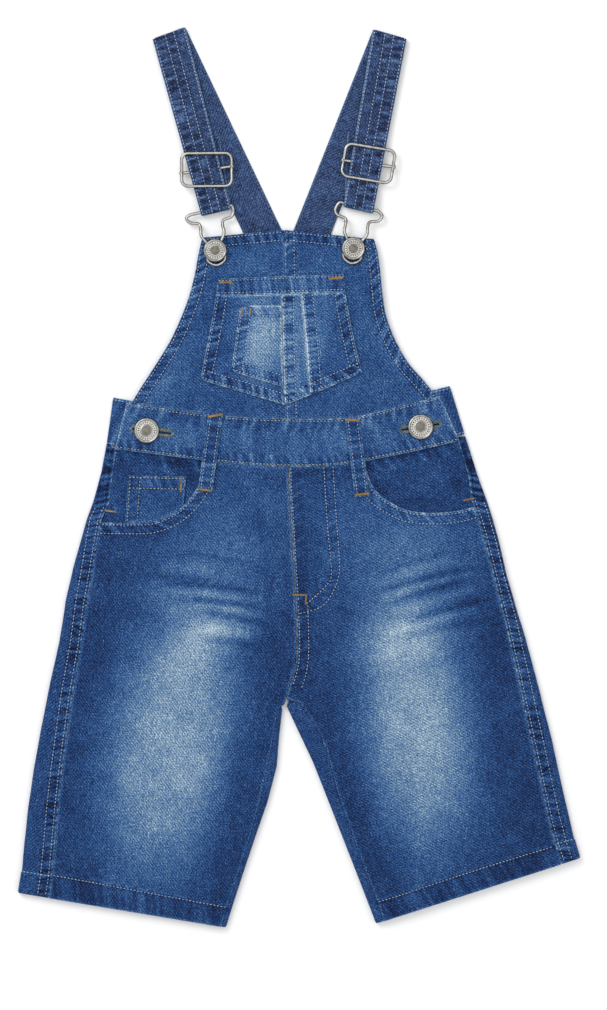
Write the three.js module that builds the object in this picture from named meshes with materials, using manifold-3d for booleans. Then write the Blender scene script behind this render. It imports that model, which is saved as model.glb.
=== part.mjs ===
// Denim shortalls for a child of about two, laid flat and face up, in millimetres.
// +Y runs up to the shoulders and +Z up from the surface. Left and right are as seen from above.
import * as THREE from 'three';
import { mergeVertices } from 'three/addons/utils/BufferGeometryUtils.js';
import Module from 'manifold-3d';

const wasm = await Module();
wasm.setup();

// Cloth
const ply = 1.2;
const seamGap = 0.3;
const frontLift = 3.0;
const facingLift = 1.5;
const bandThickness = 2.4;
const hemRaise = 0.8;
const seamRaise = 0.3;
const bibHemWidth = 7;
const felledWidth = 8;
const overlayGap = seamRaise + seamGap;
const prismHeight = 40;
const sliver = 0.03;

// Hardware
const wireRadius = 1.0;
const wireSides = 6;
const barHeight = 4.0;
const sliderHalf = { x: 16.2, y: 10.7, corner: 4.2 };
const sliderHeight = 5.8;
const sliderBarHeight = 4.3;
const ringHeight = frontLift + ply + hemRaise + seamGap + wireRadius;

// Straps: width at the back yoke, over the shoulder and at the hook
const strapWidth = { back: 23.7, shoulder: 22.5, hook: 19.8 };
const shoulderRadius = 1.5;
const tailHeight = 2.1;
const tailLength = 46;

const colours = {
  denim: 0x35588a,
  darkDenim: 0x2b4470,
  fadedDenim: 0x5f82ac,
  nickel: 0xa9a69d,
};
const denim = { roughness: 0.9, metalness: 0 };
const metal = { roughness: 0.38, metalness: 1 };

// A leg's sections, hem to waist: each runs from the outer fold to the inner one. The back cloth wraps on to
// the front by wrapOut and wrapIn; curl is 0 where the back ends flat at its centre seam; top is the height
// of the outer wrap, low at the side vent.
const lowTop = facingLift + ply;
const highTop = frontLift + ply;
const legColumns = ['outerX', 'outerY', 'innerX', 'innerY', 'wrapOut', 'wrapIn', 'curl', 'top'];
const legRows = {
  left: table(legColumns, [
    [-182.5, -269, -47.5, -291.5, 20, 3, 1, highTop],
    [-180.5, -256, -43.5, -278.5, 20, 3, 1, highTop],
    [-178.5, -235, -36.5, -257, 20, 3, 1, highTop],
    [-176, -212, -28.5, -233, 19.5, 3.2, 1, highTop],
    [-172.5, -189, -20.5, -210, 18.5, 5, 1, highTop],
    [-168, -163, -14.5, -187, 17.5, 6, 1, highTop],
    [-163, -138, -13, -168, 16, 3.4, 1, highTop],
    [-157, -110, -11, -150.5, 15, 3, 1, highTop],
    [-156, -106, -9.5, -146.5, 14.8, 0, 0, highTop],
    [-151.5, -78, -2, -118, 14, 0, 0, highTop],
    [-147, -58, -2.2, -88, 13, 0, 0, highTop],
    [-142, -40, -4, -56, 11, 0, 0, highTop],
    [-138, -26, -5, -36, 9.5, 0, 0, highTop],
    [-134, -15, -6, -22, 10.5, 0, 0, lowTop],
    [-128.5, 5, -7, -4, 7.5, 0, 0, lowTop],
    [-122.7, 38, -7.5, 22, 6.5, 0, 0, lowTop],
  ]),
  right: table(legColumns, [
    [182.5, -246.5, 50, -289, 12.5, 5, 1, highTop],
    [179.5, -236, 45, -276, 13, 6, 1, highTop],
    [175, -217, 36.5, -254, 13.5, 6, 1, highTop],
    [170, -195, 27.5, -231, 13.3, 6.8, 1, highTop],
    [165, -172, 18.5, -208, 13.2, 7.4, 1, highTop],
    [159.5, -150, 9, -184, 12.6, 10.5, 1, highTop],
    [154, -128, 0, -165, 11.8, 12.5, 1, highTop],
    [148.5, -108, -8, -147.8, 11, 9, 1, highTop],
    [147.5, -104, -8.1, -142.8, 10.8, 0, 0, highTop],
    [141, -83, -1.5, -118, 9.3, 0, 0, highTop],
    [135, -62, -1.6, -87, 8.6, 0, 0, highTop],
    [130, -40, -3.4, -55, 9.2, 0, 0, highTop],
    [126, -26, -4.4, -35, 9.2, 0, 0, highTop],
    [122, -13.5, -5.4, -21, 9.6, 0, 0, lowTop],
    [116, 3, -6.4, -3, 6, 0, 0, lowTop],
    [103.1, 44, -6.9, 22, 5.4, 0, 0, lowTop],
  ]),
};
const hemRow = 1;
const hemStep = 0.06;

// The front waistband's two edges, left to right
const bandRows = table(['lowX', 'lowY', 'highX', 'highY'], [
  [-119.5, 19.5, -112, 49.2],
  [-90, 15.8, -85, 45.4],
  [-64.5, 12.5, -58.5, 42],
  [-35, 9.2, -33, 39.9],
  [-8, 7.8, -8, 39.2],
  [15, 8.2, 13, 38.9],
  [33, 9.8, 30, 39.4],
  [45, 12, 42.5, 41.4],
  [75, 18.2, 68, 47.8],
  [104, 24.8, 91.5, 53.8],
]);

// The back waistband: its folds and how far it wraps under the front
const backBand = {
  low: { left: [-125.3, 22.3], right: [107.8, 29.2], sag: -13 },
  high: { left: [-121, 53], right: [98.2, 60.5], sag: -12 },
  wrap: 34,
  levels: 4,
};

// The bib, waistband to top: its two sides and its centre seam
const bibRows = table(['leftX', 'leftY', 'midX', 'midY', 'rightX', 'rightY'], [
  [-110.5, 46.5, -8, 34, 94, 47],
  [-103, 59, -8.2, 48, 81.5, 63.5],
  [-92.5, 75, -8.4, 63, 70.5, 75.5],
  [-83, 90.5, -8.6, 79, 62, 90.5],
  [-76, 106, -8.8, 95, 56.2, 106],
  [-71, 119.5, -9, 112, 54, 121],
  [-67.6, 133, -9.2, 130, 52.8, 134],
  [-65.4, 146, -9.4, 147, 51.2, 147],
  [-62.8, 156.8, -9.5, 161.8, 48.7, 155.8],
]);

// The back bib, waistband to yoke
const backBibRows = table(['leftX', 'leftY', 'rightX', 'rightY'], [
  [-90, 40, 75, 44],
  [-71, 71, 56, 73.5],
  [-54.5, 103.5, 41, 104.5],
  [-43.5, 129.5, 30.5, 129.5],
  [-38.2, 157.4, 23.6, 157.4],
]);

// The bib pocket, top to point: its sides and the two seams between its panels
const pocketRows = table(['leftX', 'leftY', 'seamX', 'seamY', 'seam2X', 'seam2Y', 'rightX', 'rightY'], [
  [-54, 118.6, -11, 120, 1.5, 120.3, 30, 121],
  [-56, 106, -10.8, 105, 3, 106, 32.4, 107],
  [-59, 90, -10.5, 87, 4.6, 90, 35.6, 91],
  [-61.8, 76, -10, 67, 6, 71.5, 38.6, 78],
  [-64, 64.6, -9.1, 48.2, 7.4, 54.6, 41, 69.2],
]);
const pocketBand = { low: [[-54, 118.9], [30, 121.4]], high: [[-52.8, 130], [29.4, 133]], thickness: 1.4 };
const smallPocket = { low: [[-44, 70], [-10.4, 59.8]], high: [[-38, 112.4], [-11.6, 112.4]] };

// The pocket mouths, side seam to waistband
const mouths = {
  left: [[-132, -28.2], [-107, -28.6], [-93, -27.4], [-80, -21.5], [-70.5, -12.5], [-64.5, -2.5], [-60.2, 13]],
  right: [[119, -16.6], [103.5, -20.8], [85, -22.2], [70, -20.4], [57, -14], [47.5, -5], [41.6, 13.5]],
};
const mouthCorner = { left: [-150, 40], right: [135, 46] };
const facingReach = 7;
const coinPocket = { low: [[-113.4, -34], [-76.8, -34]], high: [[-110.8, 2.2], [-73.6, 1.4]] };

const loops = table(['name', 'topX', 'topY', 'endX', 'endY'], [
  ['left', -54.2, 41.6, -61, -8],
  ['right', 34.6, 39.4, 41, -11.8],
]);
const loopWidth = 9.6;

// Soft folds in the front cloth: centre, direction in degrees, half length, half width, height
const folds = table(['x', 'y', 'turn', 'long', 'wide', 'high'], [
  [-62, -76, -5, 32, 7, 0.9],
  [-50, -98, -14, 30, 6, 0.7],
  [-95, -58, 8, 34, 8, 0.8],
  [66, -70, 17, 34, 7, 0.9],
  [96, -96, 12, 28, 7, 1.0],
  [75, -84, 9, 36, 7, 0.7],
  [-118, -150, 78, 45, 12, 0.9],
  [-62, -215, 80, 40, 14, 0.8],
  [120, -165, 104, 44, 12, 0.9],
  [62, -225, 108, 40, 13, 0.8],
  [-70, 88, 62, 16, 5, 0.6],
  [58, 76, -58, 16, 5, 0.6],
]);

// The straps' front runs, from the hook's bar to the shoulder fold, with the turn of both lines in degrees
const straps = table(
  ['name', 'barX', 'barY', 'topX', 'topY', 'barTurn', 'foldTurn', 'drift', 'sliderAt'],
  [
    ['left', -54.4, 175.4, -84.2, 288.3, 13, 20, 0.04, 26.5],
    ['right', 38.9, 177.0, 58.8, 287.6, -13, -15.8, -0.23, 27.5],
  ],
);
const strapRise = table(['at', 'height'], [
  [0, 5.9],
  [4, 5.8],
  [15, 3.9],
  [17, 3.9],
  [26.5, 6.2],
  [36, 3.9],
  [38, 3.9],
  [56, 3.6],
]);
const strapEnd = 160;

const sliders = table(['name', 'x', 'y', 'turn', 'barTurn'], [
  ['left', -60, 200.9, 0.5, 8],
  ['right', 45, 205, -9.5, -7.6],
]);

// Half of the hook's wire, ring end to bar, out from its centre line
const hookHalf = table(['out', 'up'], [
  [0, -9.4],
  [5.0, -6.8],
  [5.8, -2.2],
  [4.5, 4.6],
  [7.4, 10.4],
  [7.2, 15.6],
  [8.2, 19.0],
  [13.6, 20.6],
  [15.4, 24.0],
]);
const hookRamp = { low: 11, high: 20 };
const barInset = 4;
const hooks = table(['name', 'x', 'y', 'turn', 'barFrom', 'barTo'], [
  ['left', -54.4, 148.2, 8.5, -16.5, 10.6],
  ['right', 35.2, 149.4, -8.5, -12.8, 12.8],
]);

const sideButtons = table(['name', 'x', 'y', 'holeOut', 'holeIn', 'turn'], [
  ['left', -98.9, 31.4, -9.5, 16, -7],
  ['right', 78.9, 33.8, 12.5, -12.5, 9],
]);
const shoulderButton = { radius: 7.6, shank: 3.0, height: 2.2 };
const sideButton = { radius: 8.3, shank: 2.2, height: 2.4 };
const holeWidth = 1.6;
const holeEye = 2.7;

function table(names, rows) {
  return rows.map((row) => Object.fromEntries(names.map((name, i) => [name, row[i]])));
}

function mix(a, b, t) {
  return a + (b - a) * t;
}

function smooth(low, high, value) {
  return THREE.MathUtils.smoothstep(value, low, high);
}

function rowAt(rows, t) {
  const i = Math.min(Math.floor(t), rows.length - 2);
  const names = Object.keys(rows[0]);
  return Object.fromEntries(names.map((name) => [name, mix(rows[i][name], rows[i + 1][name], t - i)]));
}

// How far the front cloth is raised by its folds at a point
function foldHeight(x, y) {
  let height = 0;
  for (const fold of folds) {
    const turn = THREE.MathUtils.degToRad(fold.turn);
    const along = (x - fold.x) * Math.cos(turn) + (y - fold.y) * Math.sin(turn);
    const across = (y - fold.y) * Math.cos(turn) - (x - fold.x) * Math.sin(turn);
    height += fold.high * Math.exp(-((along / fold.long) ** 2) - (across / fold.wide) ** 2);
  }
  return height;
}

// One closed wall between two grids of points
function wall(outer, inner) {
  const rows = outer.length;
  const columns = outer[0].length;
  const points = [...outer.flat(), ...inner.flat()];
  const at = (side, row, column) => (side * rows + row) * columns + column;
  const index = [];
  const quad = (a, b, c, d) => index.push(a, b, c, a, c, d);
  for (let r = 0; r < rows - 1; r++) {
    for (let c = 0; c < columns - 1; c++) {
      quad(at(0, r, c), at(0, r, c + 1), at(0, r + 1, c + 1), at(0, r + 1, c));
      quad(at(1, r, c), at(1, r + 1, c), at(1, r + 1, c + 1), at(1, r, c + 1));
    }
    quad(at(0, r, 0), at(0, r + 1, 0), at(1, r + 1, 0), at(1, r, 0));
    quad(at(0, r, columns - 1), at(1, r, columns - 1), at(1, r + 1, columns - 1), at(0, r + 1, columns - 1));
  }
  for (let c = 0; c < columns - 1; c++) {
    quad(at(0, 0, c), at(1, 0, c), at(1, 0, c + 1), at(0, 0, c + 1));
    quad(at(0, rows - 1, c), at(0, rows - 1, c + 1), at(1, rows - 1, c + 1), at(1, rows - 1, c));
  }
  return facingOut(points, index);
}

// A geometry whose faces point out, whichever way its grid ran
function facingOut(points, index) {
  let volume = 0;
  for (let i = 0; i < index.length; i += 3) {
    const [a, b, c] = [points[index[i]], points[index[i + 1]], points[index[i + 2]]];
    volume += a.dot(new THREE.Vector3().crossVectors(b, c));
  }
  if (volume < 0) index.reverse();
  const geometry = new THREE.BufferGeometry();
  geometry.setAttribute('position', new THREE.Float32BufferAttribute(points.flatMap((p) => p.toArray()), 3));
  geometry.setIndex(index);
  return geometry;
}

// A flat-lying panel: plan(u, v) gives x and y, under(x, y) its underside, raise(u, v, x, y) extra on top
function panel(plan, us, vs, under, thickness = ply, raise = () => 0) {
  const grid = (lift) =>
    vs.map((v) =>
      us.map((u) => {
        const [x, y] = plan(u, v);
        const top = lift ? thickness + raise(u, v, x, y) : 0;
        return new THREE.Vector3(x, y, under(x, y) + top);
      }),
    );
  return wall(grid(true), grid(false));
}

function steps(count, from = 0, to = 1) {
  return Array.from({ length: count + 1 }, (_, i) => mix(from, to, i / count));
}

function toSolid(geometry) {
  const plain = geometry.clone();
  plain.deleteAttribute('normal');
  plain.deleteAttribute('uv');
  const merged = mergeVertices(plain, 1e-4);
  return new wasm.Manifold(
    new wasm.Mesh({
      numProp: 3,
      vertProperties: new Float32Array(merged.attributes.position.array),
      triVerts: new Uint32Array(merged.index.array),
    }),
  );
}

function toGeometry(solid) {
  const mesh = solid.getMesh();
  const geometry = new THREE.BufferGeometry();
  geometry.setAttribute('position', new THREE.BufferAttribute(mesh.vertProperties, 3));
  geometry.setIndex(new THREE.BufferAttribute(mesh.triVerts, 1));
  return geometry;
}

function prism(outline) {
  const shape = new THREE.Shape(outline.map(([x, y]) => new THREE.Vector2(x, y)));
  const geometry = new THREE.ExtrudeGeometry(shape, { depth: prismHeight, bevelEnabled: false });
  geometry.translate(0, 0, -prismHeight / 2);
  return toSolid(geometry);
}

function cutAway(geometry, ...outlines) {
  const cut = outlines.reduce((solid, outline) => solid.subtract(prism(outline)), toSolid(geometry));
  return toGeometry(cut.simplify(sliver));
}

function keepInside(geometry, outline) {
  return toGeometry(toSolid(geometry).intersect(prism(outline)));
}

// A line of points moved sideways, to the left of its direction
function moved(points, distance) {
  return points.map(([x, y], i) => {
    const before = points[Math.max(i - 1, 0)];
    const after = points[Math.min(i + 1, points.length - 1)];
    const length = Math.hypot(after[0] - before[0], after[1] - before[1]);
    return [
      x - ((after[1] - before[1]) / length) * distance,
      y + ((after[0] - before[0]) / length) * distance,
    ];
  });
}

// A smooth line through a few points
function smoothLine(points, count) {
  const curve = new THREE.CatmullRomCurve3(points.map(([x, y]) => new THREE.Vector3(x, y, 0)), false, 'centripetal');
  return curve.getPoints(count).map((p) => [p.x, p.y]);
}

// The waistband's outline in plan, grown by the seam gap
function bandOutline() {
  const low = bandRows.map((row) => [row.lowX, row.lowY]);
  const high = bandRows.map((row) => [row.highX, row.highY]).reverse();
  const side = 8;
  const first = [low[0][0] - side, low[0][1] + 1];
  const last = [low[low.length - 1][0] + side, low[low.length - 1][1] + 1.6];
  return [first, ...moved(low, -seamGap), last, [last[0] - 12, last[1] + 31], ...moved(high, -seamGap),
    [high[high.length - 1][0] - side, high[high.length - 1][1] + 1]];
}

// Everything on the waistband side of a pocket mouth, the mouth moved out into the leg by reach
function mouthOutline(side, reach) {
  const sign = side === 'left' ? -1 : 1;
  const line = moved(smoothLine(mouths[side], 14), sign * reach);
  const [cornerX, cornerY] = mouthCorner[side];
  return [...line, [line[line.length - 1][0], cornerY], [cornerX, cornerY], [cornerX, line[0][1]]];
}

// A section of cloth that turns up and over at its ends: points across it, outside and inside of the wall
function turnedSection(row, sagAt) {
  const width = Math.hypot(row.innerX - row.outerX, row.innerY - row.outerY);
  const reachX = (row.innerX - row.outerX) / width;
  const reachY = (row.innerY - row.outerY) / width;
  const arc = steps(5);
  const outside = [];
  const inside = [];
  const add = (across, height, acrossIn, heightIn) => {
    outside.push([across, height]);
    inside.push([acrossIn, heightIn]);
  };
  const radius = row.top / 2;
  const tight = radius - ply;
  const ridge = row.top + (row.ridge ?? 0);
  const flatEnd = Math.max(row.wrapOut - felledWidth, radius + 1.2);
  add(row.wrapOut, ridge, row.wrapOut, row.top - ply);
  add(flatEnd + 0.5, ridge, flatEnd + 0.5, row.top - ply);
  add(flatEnd, row.top, flatEnd, row.top - ply);
  for (const t of arc) {
    const [s, c] = [Math.sin(Math.PI * t), Math.cos(Math.PI * t)];
    add(radius - radius * s, radius + radius * c, radius - tight * s, radius + tight * c);
  }
  const endRadius = row.endTop / 2;
  const endTight = endRadius - ply;
  const flatWidth = 9;
  const flatStop = mix(width - flatWidth, width - endRadius, row.curl);
  for (const t of steps(7, 1 / 7, 6 / 7)) add(mix(radius, flatStop, t), 0, mix(radius, flatStop, t), ply);
  const tips = [...arc.map((t) => ({ t, lip: 0 })), { t: 1, lip: 1 }];
  tips.forEach(({ t, lip }, i) => {
    const [s, c] = [Math.sin(Math.PI * t), Math.cos(Math.PI * t)];
    const lipReach = Math.max(row.wrapIn - endRadius, 0.4) * lip;
    const flat = mix(flatStop, width, i / (tips.length - 1));
    const curled = width - endRadius + endRadius * s - lipReach;
    const curledIn = width - endRadius + endTight * s - lipReach;
    add(
      mix(flat, curled, row.curl),
      (endRadius - endRadius * c) * row.curl,
      mix(flat, curledIn, row.curl),
      mix(ply, endRadius - endTight * c, row.curl),
    );
  });
  const place = ([across, height]) => {
    const x = row.outerX + reachX * across;
    const y = row.outerY + reachY * across;
    return new THREE.Vector3(x, y + sagAt(across / width), height);
  };
  return [outside.map(place), inside.map(place)];
}

function turnedWall(rows, sagAt = () => 0) {
  const sections = rows.map((row) => turnedSection(row, (t) => sagAt(t, row)));
  return wall(sections.map(([outside]) => outside), sections.map(([, inside]) => inside));
}

function backLeg(side) {
  const rows = legRows[side].map((row) => ({ ...row, endTop: highTop, ridge: seamRaise }));
  return cutAway(turnedWall(rows), backBandOutline());
}

// The back waistband's lower edge and a margin above it, grown by the seam gap
function backBandOutline() {
  const edge = (line, t) => [
    mix(line.left[0], line.right[0], t),
    mix(line.left[1], line.right[1], t) + line.sag * 4 * t * (1 - t),
  ];
  const across = steps(16, -0.06, 1.06);
  const low = across.map((t) => edge(backBand.low, t));
  const high = across.map((t) => edge(backBand.high, t)).reverse();
  return [...moved(low, -seamGap), ...moved(high, -seamGap)];
}

function backWaistband() {
  const rows = steps(backBand.levels - 1).map((v) => ({
    outerX: mix(backBand.low.left[0], backBand.high.left[0], v),
    outerY: mix(backBand.low.left[1], backBand.high.left[1], v),
    innerX: mix(backBand.low.right[0], backBand.high.right[0], v),
    innerY: mix(backBand.low.right[1], backBand.high.right[1], v),
    wrapOut: backBand.wrap,
    wrapIn: backBand.wrap,
    curl: 1,
    top: lowTop,
    endTop: lowTop,
    sag: mix(backBand.low.sag, backBand.high.sag, v),
  }));
  return turnedWall(rows, (t, row) => row.sag * 4 * t * (1 - t));
}

// A front leg section's two seam points, clear of the back's wrapped edges
function legSeams(row) {
  const width = Math.hypot(row.innerX - row.outerX, row.innerY - row.outerY);
  const out = (row.wrapOut + seamGap) / width;
  const inner = row.curl > 0.5 ? (Math.max(row.wrapIn, highTop / 2 + 0.4) + seamGap) / width : seamGap / 2 / width;
  return [
    [mix(row.outerX, row.innerX, out), mix(row.outerY, row.innerY, out)],
    [mix(row.innerX, row.outerX, inner), mix(row.innerY, row.outerY, inner)],
  ];
}

function legPlan(side) {
  const rows = legRows[side];
  return (u, v) => {
    const [from, to] = legSeams(rowAt(rows, v));
    return [mix(from[0], to[0], u), mix(from[1], to[1], u)];
  };
}

function frontUnder(x, y) {
  return frontLift + foldHeight(x, y);
}

// The fly: twice the cloth inside its J, on the right leg
const fly = { width: 26, foot: -62, turn: 24, raise: 0.4 };

function frontLeg(side) {
  const rows = legRows[side];
  const last = rows.length - 1;
  const vs = [0, 0.5, hemRow, hemRow + hemStep, ...steps(last - 2, 2, last)];
  const inner = side === 'right' ? [0.72, 0.785, 0.815, 0.9, 1] : [0.73, 0.82, 0.91, 1];
  const us = [...steps(7, 0, 0.64), ...inner];
  const raise = (u, v, x, y) => {
    const hem = v <= hemRow ? hemRaise : 0;
    const flyHere = side === 'right' && x < fly.width - 6 && y > fly.foot - fly.turn * (1 - x / fly.width);
    return hem + (flyHere ? fly.raise : 0);
  };
  const leg = panel(legPlan(side), us, vs, frontUnder, ply, raise);
  return cutAway(leg, mouthOutline(side, 0), bandOutline());
}

function pocketFacing(side) {
  const last = legRows[side].length - 1;
  const lowRow = 11;
  const facing = panel(legPlan(side), steps(10), steps(6, lowRow, last), () => facingLift);
  return cutAway(keepInside(facing, mouthOutline(side, facingReach)), backBandOutline());
}

function quadPlan({ low, high }) {
  return (u, v) => [
    mix(mix(low[0][0], low[1][0], u), mix(high[0][0], high[1][0], u), v),
    mix(mix(low[0][1], low[1][1], u), mix(high[0][1], high[1][1], u), v),
  ];
}

function coin() {
  const patch = panel(quadPlan(coinPocket), steps(4), steps(4), () => facingLift + ply + seamGap);
  return keepInside(patch, mouthOutline('left', -seamGap));
}

function frontWaistband() {
  const plan = (u, v) => {
    const row = rowAt(bandRows, u);
    return [mix(row.lowX, row.highX, v), mix(row.lowY, row.highY, v)];
  };
  const band = panel(plan, steps(18, 0, bandRows.length - 1), steps(4), () => frontLift, bandThickness);
  return sideButtons.reduce((geometry, button) => cutAway(geometry, buttonhole(button)), band);
}

// A keyhole: a slit with a round eye where the button's shank goes through
function buttonhole({ x, y, holeOut, holeIn, turn }) {
  const [from, to] = [Math.min(holeOut, holeIn), Math.max(holeOut, holeIn)];
  const half = holeWidth / 2;
  const open = Math.asin(half / holeEye);
  const arc = (start, end) => steps(8, start, end).map((a) => [holeEye * Math.cos(a), holeEye * Math.sin(a)]);
  const outline = [[from, -half], ...arc(open - Math.PI, -open), [to, -half], [to, half],
    ...arc(open, Math.PI - open), [from, half]];
  const angle = THREE.MathUtils.degToRad(turn);
  return outline.map(([a, b]) => [
    x + a * Math.cos(angle) - b * Math.sin(angle),
    y + a * Math.sin(angle) + b * Math.cos(angle),
  ]);
}

function bibHalf(side) {
  const last = bibRows.length - 1;
  const edge = side === 'left' ? ['leftX', 'leftY'] : ['rightX', 'rightY'];
  const sign = side === 'left' ? -1 : 1;
  const plan = (u, v) => {
    const row = rowAt(bibRows, v);
    return [mix(row.midX + (sign * seamGap) / 2, row[edge[0]], u), mix(row.midY, row[edge[1]], u)];
  };
  const topHem = 0.42;
  const raise = (u, v, x) => {
    const width = Math.abs(plan(1, v)[0] - plan(0, v)[0]);
    const atSide = (1 - u) * width <= bibHemWidth + 0.1;
    const atTop = v >= last - topHem - 0.01;
    const atCentre = side === 'right' && u * width <= felledWidth;
    return atSide || atTop ? hemRaise : atCentre ? seamRaise : 0;
  };
  const vs = [...steps(last - 1, 0, last - 1), last - topHem - 0.08, last - topHem, last];
  const grid = (lift) =>
    vs.map((v) => {
      const width = Math.abs(plan(1, v)[0] - plan(0, v)[0]);
      const hem = 1 - bibHemWidth / width;
      const seam = felledWidth / width;
      const us = [0, seam, seam + 0.5 / width, ...steps(3, seam + 0.2 * (hem - seam), hem - 0.7 / width), hem, 1];
      return us.map((u) => {
        const [x, y] = plan(u, v);
        return new THREE.Vector3(x, y, frontUnder(x, y) + (lift ? ply + raise(u, v, x) : 0));
      });
    });
  return cutAway(wall(grid(true), grid(false)), bandOutline());
}

function backBib() {
  const plan = (u, v) => {
    const row = rowAt(backBibRows, v);
    return [mix(row.leftX, row.rightX, u), mix(row.leftY, row.rightY, u)];
  };
  const bib = panel(plan, steps(8), steps(6, 0, backBibRows.length - 1), () => 0);
  return cutAway(bib, backBandOutline());
}

function bibTop(x, y) {
  return frontUnder(x, y) + ply;
}

function pocketUnder(x, y) {
  return bibTop(x, y) + overlayGap;
}

// A panel of the bib pocket between two of its columns
function pocketPanel(from, to) {
  const last = pocketRows.length - 1;
  const plan = (u, v) => {
    const row = rowAt(pocketRows, v);
    const gap = (seam) => (seam.startsWith('seam') ? seamGap / 2 : 0);
    return [mix(row[`${from}X`] + gap(from), row[`${to}X`] - gap(to), u), mix(row[`${from}Y`], row[`${to}Y`], u)];
  };
  const columns = from === 'seam' ? 2 : 5;
  return panel(plan, steps(columns), steps(8, 0, last), pocketUnder);
}

// A belt loop: over the waistband, and down on to the leg below it
function beltLoop({ topX, topY, endX, endY }) {
  const length = Math.hypot(endX - topX, endY - topY);
  const [reachX, reachY] = [(endX - topX) / length, (endY - topY) / length];
  const plan = (u, v) => [
    mix(topX, endX, v) + (u - 0.5) * loopWidth * reachY,
    mix(topY, endY, v) - (u - 0.5) * loopWidth * reachX,
  ];
  const bandEnd = 33 / length;
  const onLeg = 37 / length;
  const over = frontLift + bandThickness + seamGap;
  const grid = (lift) =>
    [0, 0.03, 0.25, 0.5, bandEnd, onLeg, 0.85, 1].map((v) =>
      steps(2).map((u) => {
        const [x, y] = plan(u, v);
        const height = mix(over, bibTop(x, y) + fly.raise + seamGap, smooth(bandEnd, onLeg, v));
        return new THREE.Vector3(x, y, height + lift);
      }),
    );
  return wall(grid(ply), grid(0));
}

// The height of a strap's front run above the surface, by its distance from the bar
function strapHeight(at) {
  const knots = strapRise;
  if (at <= knots[0].at) return knots[0].height;
  const i = knots.findIndex((knot) => at < knot.at);
  if (i < 0) return knots[knots.length - 1].height;
  return mix(knots[i - 1].height, knots[i].height, smooth(knots[i - 1].at, knots[i].at, at));
}

// One strap: a flat ribbon turned under round the hook's bar and over the shoulder line
function strap(row) {
  const length = Math.hypot(row.topX - row.barX, row.topY - row.barY);
  const run = new THREE.Vector3((row.topX - row.barX) / length, (row.topY - row.barY) / length, 0);
  const across = new THREE.Vector3(run.y, -run.x, 0);
  const bar = new THREE.Vector3(row.barX, row.barY, 0);
  const top = new THREE.Vector3(row.topX, row.topY, 0);
  const facing = (turn, sign) => {
    const angle = THREE.MathUtils.degToRad(turn);
    return new THREE.Vector3(-Math.sin(angle) * sign, Math.cos(angle) * sign, 0);
  };
  const ends = [
    { point: bar, out: facing(row.barTurn, -1), radius: (strapHeight(0) - tailHeight) / 2, drift: row.drift },
    { point: top, out: facing(row.foldTurn, 1), radius: shoulderRadius, drift: 0 },
  ];
  const place = (at, aside) => {
    const flat = bar.clone().addScaledVector(run, at).addScaledVector(across, aside);
    let height = strapHeight(at + row.sliderShift);
    let normal = new THREE.Vector3(0, 0, 1);
    for (const end of ends) {
      const past = flat.clone().sub(end.point).dot(end.out);
      if (past <= 0) continue;
      const angle = Math.min(past / end.radius, Math.PI);
      const back = Math.max(past - Math.PI * end.radius, 0);
      flat.addScaledVector(end.out, end.radius * Math.sin(angle) - back - past);
      flat.addScaledVector(across, end.drift * back);
      height -= end.radius * (1 - Math.cos(angle));
      normal = end.out.clone().multiplyScalar(Math.sin(angle)).setZ(Math.cos(angle));
    }
    return [flat.setZ(height), normal];
  };
  const turnLength = Math.PI * ends[0].radius;
  const stations = [
    ...steps(5, -tailLength - turnLength, -turnLength - 4),
    ...steps(7, -turnLength - 2.4, 2.4),
    ...steps(12, 5, 46),
    ...steps(4, 56, length - 6),
    ...steps(8, length - 3.5, length + Math.PI * shoulderRadius + 3.5),
    ...steps(9, length + 16, length + strapEnd),
  ];
  const widthAt = (at) =>
    at < length
      ? mix(strapWidth.hook, strapWidth.shoulder, Math.max(at, 0) / length)
      : mix(strapWidth.shoulder, strapWidth.back, Math.min((at - length) / strapEnd, 1));
  const grid = (side) =>
    stations.map((at) =>
      steps(3, -0.5, 0.5).map((aside) => {
        const [point, normal] = place(at, aside * widthAt(at));
        return point.addScaledVector(normal, (side * ply) / 2);
      }),
    );
  return cutAway(wall(grid(1), grid(-1)), yokeOutline());
}

function yokeOutline() {
  const yoke = backBibRows[backBibRows.length - 1];
  const low = yoke.leftY - 60;
  const high = yoke.leftY + seamGap;
  return [[yoke.leftX - 20, low], [yoke.rightX + 20, low], [yoke.rightX + 20, high], [yoke.leftX - 20, high]];
}

function turned(geometry, { x, y, turn }, height) {
  geometry.rotateZ(THREE.MathUtils.degToRad(turn));
  geometry.translate(x, y, height);
  return geometry;
}

// A slider: a rounded wire frame whose sides dip to carry the bar
function slider(row) {
  const { x: halfX, y: halfY, corner } = sliderHalf;
  const corners = [[1, -1, -90], [1, 1, 0], [-1, 1, 90], [-1, -1, 180]];
  const points = corners.flatMap(([signX, signY, start]) =>
    steps(3).map((t) => {
      const angle = THREE.MathUtils.degToRad(start + 90 * t);
      const x = signX * (halfX - corner) + corner * Math.cos(angle);
      const y = signY * (halfY - corner) + corner * Math.sin(angle);
      return new THREE.Vector3(x, y, 0);
    }),
  );
  for (const side of [1, -1]) {
    const i = points.findIndex((p) => p.x * side > halfX - 0.01 && p.y * side > 0);
    points.splice(i, 0, new THREE.Vector3(side * halfX, 0, sliderBarHeight - sliderHeight + 0.3));
  }
  const ring = new THREE.CatmullRomCurve3(points, true, 'centripetal');
  const frame = toSolid(turned(new THREE.TubeGeometry(ring, 40, wireRadius, wireSides, true), row, sliderHeight));
  const rod = new THREE.CylinderGeometry(wireRadius, wireRadius, 2 * halfX + 2.4, wireSides, 1);
  rod.rotateZ(Math.PI / 2);
  return toGeometry(frame.add(toSolid(turned(rod, { ...row, turn: row.barTurn }, sliderBarHeight))));
}

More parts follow.
